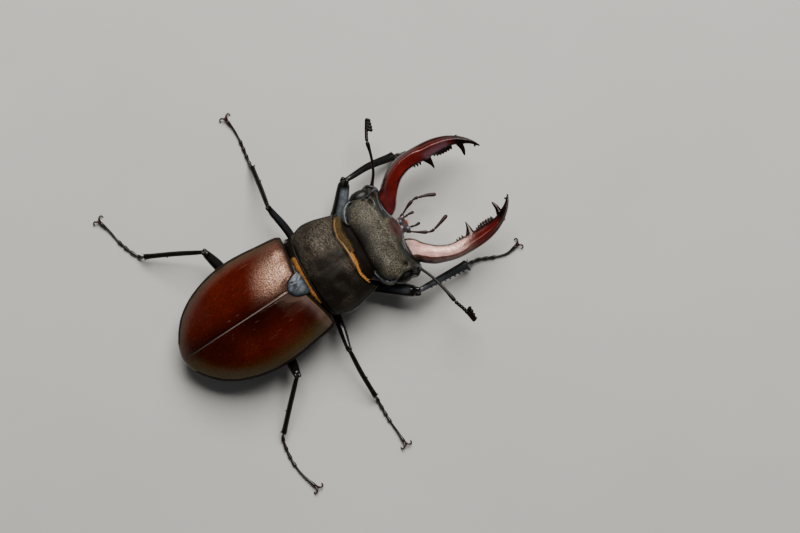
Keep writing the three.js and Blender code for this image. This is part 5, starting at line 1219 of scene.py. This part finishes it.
def leg(name, d):
    kind, R = d["kind"], FEMUR_R[d["kind"]]
    hip, bend, knee, shin, ankle = (A(d[k]) for k in ("hip", "bend", "knee", "shin", "ankle"))
    up = A([0, 0, 1])
    # femur: bar with a keel below, a trochanter at its root and two lobes round the knee
    fem = Curve([hip - 0.25 * (bend - hip), hip, bend, knee])
    end = 0.86 if kind == "fore" else 0.80
    radii = [[0, R * 0.66], [0.16, R * 0.86], [0.42, R], [0.70, R * 0.98], [0.90, R * end], [1, R * (end - 0.12)]]
    keel = lambda p, t: 1 + 0.05 * np.cos(2 * p) + 0.07 * np.power(np.clip(-np.sin(p), 0, 1), 6) * np.sin(np.pi * np.clip(t, 0, 1)) - 0.035 * np.power(np.clip(np.sin(p + 0.5), 0, 1), 10)
    parts = [rod(fem, radii, 120, 48, flat=0.86, ends=(0.6, 0.8), section=keel)]
    parts.append(rod([hip - 0.45 * unit(bend - hip) * R, hip + 0.9 * unit(bend - hip) * R], [[0, R * 0.72], [0.5, R * 0.80], [1, R * 0.55]], 24, 24))
    fd, td = unit(knee - bend), unit(shin - knee)
    axis = unit(np.cross(fd, td)) if np.linalg.norm(np.cross(fd, td)) > 0.05 else unit(np.cross(fd, up))
    for w in (-1, 1):
        parts.append(rod([knee - fd * R * 0.9 + axis * w * R * 0.34, knee + fd * R * 0.02 + axis * w * R * 0.42, knee + fd * R * 0.34 + td * R * 0.22 + axis * w * R * 0.36], [[0, R * 0.32], [0.5, R * 0.40], [1, R * 0.30]], 22, 18))
    # painted reflection: the femora, the fore ones most, turn pale blue-grey where they face up, fading toward the knee
    dust_and_sheen = {"fore_left": 0.95, "fore_right": 0.75, "mid_left": 0.10}.get(name, 0.05)
    shell = blended(join(parts), 0.078, 2)
    piece("femur_" + name + "_shell", shell, M_LEG, "femur_" + name, {"painted_reflection": dust_and_sheen * smooth(0.72, 1.0, normals(shell) @ unit([-0.16, -0.24, 1.0])) * smooth(0.9 * R, 1.7 * R, np.linalg.norm(shell[0] - knee, axis=1))})
    # tibia: bent in at the knee, ribbed, with teeth, spurs and a toothed end
    k, e = knee + td * R * 0.10, ankle - 0.1 * unit(ankle - shin)
    path = Curve([k, k + (shin - k) * 0.33 + up * 0.12, shin, e])
    tip, root = (0.80, 0.52) if kind == "fore" else (0.47, 0.42) if kind == "mid" else (0.49, 0.43)
    flat = 0.66 if kind == "fore" else 0.86
    ribs = lambda p, t: 1 + 0.05 * np.cos(4 * p) * smooth(0.05, 0.25, t)
    parts = [rod(path, [[0, root * 1.05], [0.05, root * 0.90], [0.10, root * 0.97], [0.5, root + (tip - root) * 0.42], [0.88, tip * 0.94], [0.97, tip * 1.05], [1, tip * 0.98]], 140, 40, flat=flat, ends=(0.7, 0.45), section=ribs)]
    dirn = unit(e - k)
    out = A([*d["out"], 0.0])
    side = unit(unit(out) - unit(out).dot(dirn) * dirn)
    drop = d.get("drop", 0)
    level = math.sqrt(1 - drop * drop)

    def tooth(t, ln, lean, r):
        c = path.at(t)
        tipp = c + side * ln * level + dirn * lean + A([0, 0, ln * drop])
        parts.append(thorn([c, c + (tipp - c) * 0.5 - dirn * 0.06, tipp], r * 1.15, 16, 14, tip=0.14, power=0.85))

    if kind == "fore":
        for a in ((0.24, 0.80, 0.10, 0.26), (0.33, 0.86, 0.12, 0.28), (0.42, 0.94, 0.15, 0.30), (0.51, 0.98, 0.15, 0.30), (0.60, 1.04, 0.18, 0.32), (0.69, 1.08, 0.20, 0.32), (0.78, 1.14, 0.22, 0.34), (0.86, 1.12, 0.22, 0.30), (0.95, 1.42, 0.50, 0.44)):
            tooth(*a)
    else:
        tooth(0.60, 0.74 if kind == "mid" else 0.76, 0.22, 0.20)
        tooth(0.965, 0.80, 0.32, 0.22)
    c = path.at(0.965)
    big = 1.0 if kind == "fore" else 0.78
    for w, ln in ((0.35, 1.15 * big), (-0.25, 0.92 * big)):
        tp = c - side * ln * 0.70 + dirn * ln * 0.74 + up * w * 0.4
        parts.append(thorn([c, c + (tp - c) * 0.5 + dirn * 0.10, tp], 0.20 * big + 0.02, 14, 12, tip=0.14, power=0.7))
    for w in (-1, 1):
        cr = np.cross(dirn, side) * w
        parts.append(thorn([c + cr * tip * 0.35, c + cr * tip * 0.62 + dirn * 0.35, c + cr * tip * 0.66 + dirn * 0.60], 0.2, 12, 12, tip=0.2))
    shell = on_floor(blended(join(parts), 0.064, 2, 0.4))
    # painted reflection on the fore tibiae by the same rule
    piece("tibia_" + name + "_shell", shell, M_LEG, "tibia_" + name, {"painted_reflection": {"fore_left": 0.05, "fore_right": 0.34}.get(name, 0.0) * smooth(0.70, 1.0, normals(shell) @ unit([-0.16, -0.24, 1.0]))})
    # foot: four short bell-shaped joints with two spines below each, and a long last joint
    foot = Curve([e - 0.22 * dirn, *d["foot"]])
    cuts, parts = [0, 0.175, 0.315, 0.45, 0.58, 1.0], []
    for i in range(5):
        a, b = cuts[i], cuts[i + 1]
        P = foot.at(np.linspace(max(0, a - 0.012), b, 6))
        if i < 4:
            parts.append(rod(P, [[0, 0.21], [0.25, 0.24], [0.72, 0.35], [0.9, 0.385], [1, 0.33]], 26, 24, flat=0.92, ends=(0.9, 0.6)))
            q, t = foot.at(b - 0.02), foot.tangent(b)
            r = unit(np.cross(t, up))
            for w in (-1, 1):
                parts.append(thorn([q + r * w * 0.14, q + r * w * 0.26 + t * 0.20 - up * 0.16, q + r * w * 0.32 + t * 0.40 - up * 0.2], 0.11, 10, 10, tip=0.2))
        else:
            parts.append(rod(P, [[0, 0.19], [0.2, 0.20], [0.7, 0.245], [0.9, 0.33], [1, 0.29]], 50, 24, ends=(0.9, 0.7)))
    shell = blended(join(parts), 0.054, 2, 0.4)
    s_along = np.min(np.linalg.norm(shell[0][:, None, :] - foot.at(np.array(cuts[1:]))[None], axis=2), axis=1)
    piece("tarsus_" + name + "_joints", on_floor(shell), M_FOOT, "tarsus_" + name, {"tip": smooth(0.28, 0.05, s_along)})
    # two claws hooked outward and back, and the small bristle stalk between them
    end, t = foot.at(1.0), foot.tangent(1.0)
    t = unit([t[0], t[1], 0])
    r = A([t[1], -t[0], 0])
    q = lambda f, l, z: A([*(end + t * f + r * l)[:2], z])
    parts = []
    for w in (-1, 1):
        pts = [q(-0.1, 0.08 * w, 0.55), q(0.30, 0.17 * w, 0.72), q(0.64, 0.36 * w, 0.86), q(0.83, 0.64 * w, 0.80), q(0.85, 0.90 * w, 0.60), q(0.68, 1.06 * w, 0.38), q(0.44, 1.06 * w, 0.14), q(0.36, 1.02 * w, 0.03)]
        parts.append(thorn(pts, 0.215, 56, 18, tip=0.24, power=0.5))
    parts.append(rod([q(-0.05, 0, 0.5), q(0.30, 0, 0.5), q(0.52, 0, 0.46)], [[0, 0.12], [0.6, 0.075], [1, 0.09]], 18, 12))
    for w in (-1, 1):
        parts.append(thorn([q(0.48, 0.02 * w, 0.46), q(0.66, 0.08 * w, 0.42), q(0.80, 0.16 * w, 0.34)], 0.055, 10, 8, tip=0.3))
    m = blended(join(parts), 0.03, 1)
    piece("claws_" + name + "_pair", on_floor(m), M_CLAW, "claws_" + name)


for _name, _d in LEGS.items():
    leg(_name, _d)


# ------------------------------------------------------------------ hair: every hair a closed three-sided spike
def fur(name, roots, dirs, lengths, radii, curl, unwrap, nodes=(), shift=None, tone=0.4, material=None):
    """roots, dirs (N,3); curl (N,3) bends the tip; unwrap (N,2) is each root's place on the unrolled body."""
    n = len(roots)
    dirs = dirs / np.linalg.norm(dirs, axis=1, keepdims=True)
    side = np.cross(dirs, np.array([0.31, 0.17, 0.93]))
    side /= np.linalg.norm(side, axis=1, keepdims=True)
    rise = np.cross(side, dirs)
    stations = [(0.0, 1.0), (0.38, 0.86), (0.72, 0.55), (1.0, 0.0)]
    V = []
    for s, k in stations[:3]:
        c = roots + dirs * (lengths * s)[:, None] + curl * (lengths * s * s)[:, None]
        for j in range(3):
            a = 2 * np.pi * j / 3
            V.append(c + (side * math.cos(a) + rise * math.sin(a)) * (radii * k)[:, None])
    V.append(roots + dirs * lengths[:, None] + curl * lengths[:, None])
    V = np.stack(V, 1).reshape(-1, 3)                       # 10 vertices a hair
    base = (np.arange(n) * 10)[:, None]
    q = [[a + j, a + (j + 1) % 3, a + 3 + (j + 1) % 3, a + 3 + j] for a in (0, 3) for j in range(3)]
    t = [[6 + j, 6 + (j + 1) % 3, 9] for j in range(3)] + [[2, 1, 0]]
    Q = (base[:, None, :] + np.array(q)[None]).reshape(-1, 4)
    T = (base[:, None, :] + np.array(t)[None]).reshape(-1, 3)
    V, Q, T = facing(V, Q, T)
    if shift is not None:
        V = turned(V, shift)
    tips = np.tile([0, 0, 0, 0.38, 0.38, 0.38, 0.75, 0.75, 0.75, 1.0], n)
    o = piece(name, (V, Q, T), material or M_HAIR, nodes, {"tip": tips, "tone": np.repeat(np.broadcast_to(tone, n), 10)}, shade=True)
    local = np.array([[0.0, 0.0], [0.5, 0.0], [1.0, 0.0], [0.05, 0.4], [0.5, 0.4], [0.95, 0.4], [0.15, 0.75], [0.5, 0.75], [0.85, 0.75], [0.5, 1.0]]) * 0.003
    uv = (np.clip(unwrap, 0.002, 0.994)[:, None, :] + local[None]).reshape(-1, 2)
    me = o.data
    idx = np.zeros(len(me.loops), np.int32)
    me.loops.foreach_get("vertex_index", idx)
    layer = me.uv_layers.new(name="OFBake")
    layer.data.foreach_set("uv", uv[idx].astype(np.float32).ravel())
    return o


def unrolled(P, y0, y1, zc):
    """Body opened out flat: along its length, and round its section from the belly line."""
    return np.stack([(P[:, 1] - y0) / (y1 - y0), np.arctan2(P[:, 0], -(P[:, 2] - zc)) / (2 * np.pi) + 0.5], -1)


def jitter(n, k):
    return rng.normal(0, k, (n, 3))


def plate_top(x, y):
    return pronotum_edge(y) + (pronotum_top(y) - pronotum_edge(y)) * dome(x / 8.25, 2.3, 1.8)


def run(points, weight, n):
    """n places along a curve, packed by weight(x)."""
    c = Curve(points)
    t = rng.uniform(0, 1, n * 6)
    x = c.at(t)[:, 0]
    t = t[rng.uniform(0, 1, len(t)) < weight(x)][:n]
    return c.at(t)


# fringe out from under the pronotum's hind edge, brightest left of the middle
P = run(across(PRO_REAR), lambda x: np.maximum(smooth(-5.3, -4.3, x) * smooth(5.0, 4.2, x), np.where(x > 0, 0.60, 0.15)), 2700)
n = len(P)
x0 = P[:, 0]
P[:, 1] += rng.uniform(-0.42, -0.02, n)
P[:, 2] = plate_top(P[:, 0], P[:, 1]) - 0.62 - rng.uniform(0, 0.25, n)
D = np.stack([0.06 * x0 / 8, np.ones(n), np.full(n, 0.06)], -1) + jitter(n, 0.17)
L = rng.uniform(0.70, 1.10, n) * (0.50 + 0.50 * smooth(-5.2, -2.0, x0) + 0.10 * smooth(1.6, 3.0, x0)) * (1 + 0.16 * ripple(x0, x0 * 0, 5.0, 91))
L = L * (1 + 0.45 * smooth(4.3, 5.0, x0))
_r, _c, _tone = rng.uniform(0.024, 0.036, n), np.tile([0, 0, -0.06], (n, 1)) + jitter(n, 0.06), np.clip(0.70 + 0.26 * bell(x0 - 3.0, 1.6) - 0.5 * smooth(4.0, 4.6, x0) + 0.20 * np.sin(x0 * 4.3 + 0.6) * np.sin(x0 * 2.1) + rng.normal(0, 0.16, n), 0, 1)
_u, _gold = unrolled(P, -37.5, -26, 8.5), (x0 < 4.5 + rng.normal(0, 0.15, n)) & (x0 > -4.8)
fur("hair_pronotum_rear", P[_gold], D[_gold], L[_gold], _r[_gold], _c[_gold], _u[_gold], shift=PRONOTUM_SHIFT, tone=_tone[_gold])
fur("hair_pronotum_rear_dark", P[~_gold], D[~_gold], L[~_gold], _r[~_gold], _c[~_gold], _u[~_gold], shift=PRONOTUM_SHIFT, material=M_HAIR_DARK)

# fringe over the neck from under its front edge: long, pale and olive on the left, its dull tone painted shade, short
# and bright on the right
P = run(across(PRO_FRONT), lambda x: smooth(-6.1, -5.3, x) * smooth(6.9, 6.2, x) * (1 - 0.75 * bell(x + 0.0, 0.45)), 3000)
n = len(P)
x0 = P[:, 0]
left = smooth(-0.2, 0.6, x0)
P[:, 1] += rng.uniform(0.10, 0.45, n)
P[:, 2] = plate_top(P[:, 0], P[:, 1]) - 0.88 - rng.uniform(0, 0.25, n)
D = np.stack([0.04 * x0 / 8, -np.ones(n), -0.10 - 0.12 * left], -1) + jitter(n, 0.13)
L = (rng.uniform(0.52, 0.80, n) + left * (rng.uniform(0.35, 0.75, n) + 0.30 * bell(x0 - 3.6, 1.8))) * (1 + 0.12 * ripple(x0, x0 * 0, 5.0, 92))
fur("hair_pronotum_front", P, D, L, rng.uniform(0.024, 0.036, n), np.tile([0, 0, -0.10], (n, 1)) + jitter(n, 0.05), unrolled(P, -37.5, -26, 8.5), shift=PRONOTUM_SHIFT,
    tone=np.clip((1 - left) * 0.95 + left * 0.05 + rng.normal(0, 0.10, n), 0, 1))


# short pile under the chest and belly
def belly_hair(name, n, y0, y1, half, under, lens, shift=None, slope=1.0):
    x, y = rng.uniform(-1, 1, n), rng.uniform(y0, y1, n)
    x = x * half(y) * 0.86
    z = under(x, y)
    P = np.stack([x, y, z + 0.05], -1)
    D = np.stack([0.25 * x / 8, np.full(n, 0.9 * slope), np.full(n, -0.42)], -1) + jitter(n, 0.16)
    L = rng.uniform(*lens, n)
    L = np.minimum(L, np.maximum(0.2, (z - 0.25) / 0.75))
    fur(name, P, D, L, rng.uniform(0.018, 0.028, n), jitter(n, 0.06) + np.array([0, 0.1 * slope, 0.0]), unrolled(P, y0 - 0.5, y1 + 0.5, 8.0), shift=shift)


def torso_under(x, y):
    e = elytra_edge(y) - 0.9
    return e - 0.4 - np.maximum(0, e - 0.4 - belly_z(y)) * dome(x / body_half(y), 2.6, 1.5)


def core_under(x, y):
    m = pronotum_edge(y) - 1.2
    return m - (m - CHEST - 1.9 * smooth(-35.4, -36.4, y)) * dome(x / core_half(y), 2.6, 1.5)


belly_hair("hair_chest", 3600, -24.0, -16.4, body_half, torso_under, (0.55, 1.1))
belly_hair("hair_front_chest", 1500, -35.0, -28.4, core_half, core_under, (0.45, 0.9), shift=PRONOTUM_SHIFT)
belly_hair("hair_belly", 1500, -13.8, -3.2, body_half, torso_under, (0.25, 0.5))

# short rows along the legs' inner sides and a small brush in the mouth
for name, d in LEGS.items():
    R = FEMUR_R[d["kind"]]
    c = Curve([d["hip"], d["bend"], d["knee"]])
    n = 260 if name == "mid_left" else 90
    t = rng.uniform(0.25, 0.92 if name == "mid_left" else 0.75, n)
    T = c.tangent(t)
    inner = np.cross(T, np.array([0, 0, 1.0]))
    inner /= np.linalg.norm(inner, axis=1, keepdims=True)
    if (inner[:, 1].mean() < 0):
        inner = -inner
    if d["kind"] == "fore":
        inner = -inner
    P = c.at(t) + inner * R * 0.84 + np.array([0, 0, -0.22 * R]) + jitter(n, 0.04)
    D = inner * 0.35 + T * 1.0 + jitter(n, 0.10)
    fur("hair_femur_" + name, P, D, rng.uniform(0.22, 0.42, n), rng.uniform(0.016, 0.022, n), jitter(n, 0.05) + T * 0.15, np.stack([0.1 + 0.8 * t, rng.uniform(0.3, 0.5, n)], -1), tone=0.35)
n = 120
P = np.stack([-0.30 + rng.uniform(-0.32, 0.32, n), rng.uniform(-46.95, -46.5, n), rng.uniform(6.9, 7.6, n)], -1)
D = np.stack([(P[:, 0] + 0.3) * 0.35, -np.ones(n), np.full(n, 0.1)], -1) + jitter(n, 0.14)
fur("hair_mouth", P, D, rng.uniform(0.35, 0.75, n), rng.uniform(0.020, 0.030, n), jitter(n, 0.06), np.stack([0.3 + 0.4 * (P[:, 0] + 0.7) / 0.8, 0.3 + 0.4 * (P[:, 2] - 7.0)], -1), shift=HEAD_SHIFT, tone=1.0, material=M_TUFT)

# ------------------------------------------------------------------ floor, light, camera
fm = Nodes("floor_paper")
_n = fm.noise(0.02, 3)
fm.done(fm.mix(fm.span(_n, 0.3, 0.7), (0.62, 0.605, 0.575), (0.66, 0.645, 0.615)), 0.75, fm.bump(fm.noise(0.8, 4), 30, 0.3), Specular_IOR_Level=0.2)
me = bpy.data.meshes.new("floor")
me.from_pydata([(-3, -3, 0), (3, -3, 0), (3, 3, 0), (-3, 3, 0)], [], [(0, 1, 2, 3)])
me.materials.append(fm.mat)
floor = bpy.data.objects.new("floor", me)
bpy.context.scene.collection.objects.link(floor)

YAW = math.radians(33.0)
RIGHT, UP = np.array([-math.sin(YAW), -math.cos(YAW), 0.0]), np.array([math.cos(YAW), -math.sin(YAW), 0.0])
cam_at = (np.array([-6.936, -41.811, 402.7]) - OFF) / 1000
middle = np.array([0.0, 0.0, 0.008])


def look(obj, at, to):
    from mathutils import Vector
    obj.location = Vector(at)
    obj.rotation_mode = "QUATERNION"
    obj.rotation_quaternion = (Vector(at) - Vector(to)).to_track_quat("Z", "Y")


def area(name, at, size, watts, color=(1, 1, 1), to=middle, size_y=None):
    L = bpy.data.lights.new(name, "AREA")
    L.energy, L.size, L.color = watts, size, color
    if size_y:
        L.shape, L.size_y = "RECTANGLE", size_y
    o = bpy.data.objects.new(name, L)
    bpy.context.scene.collection.objects.link(o)
    look(o, at, to)
    return o


def toward(right, up, z):
    return middle + RIGHT * right + UP * up + np.array([0, 0, z])


area("key", toward(0.07, 0.37, 0.50), 0.40, 6.0, (1.0, 0.98, 0.95))
area("low", toward(0.35, -0.50, 0.28), 0.40, 0.11, (0.98, 0.98, 1.0))
area("side", toward(-0.55, 0.05, 0.16), 0.30, 0.05, (1.0, 0.98, 0.96))

world = bpy.data.worlds.new("studio")
world.use_nodes = True
bg = world.node_tree.nodes["Background"]
bg.inputs[0].default_value = (0.88, 0.92, 1.0, 1)
bg.inputs[1].default_value = 0.05
bpy.context.scene.world = world

cam_data = bpy.data.cameras.new("camera")
cam_data.lens, cam_data.sensor_width, cam_data.clip_start, cam_data.clip_end = 100.0, 36.0, 0.01, 20.0
cam = bpy.data.objects.new("camera", cam_data)
bpy.context.scene.collection.objects.link(cam)
from mathutils import Matrix
cam.matrix_world = Matrix(((RIGHT[0], UP[0], 0, cam_at[0]), (RIGHT[1], UP[1], 0, cam_at[1]), (0, 0, 1, cam_at[2]), (0, 0, 0, 1)))
bpy.context.scene.camera = cam
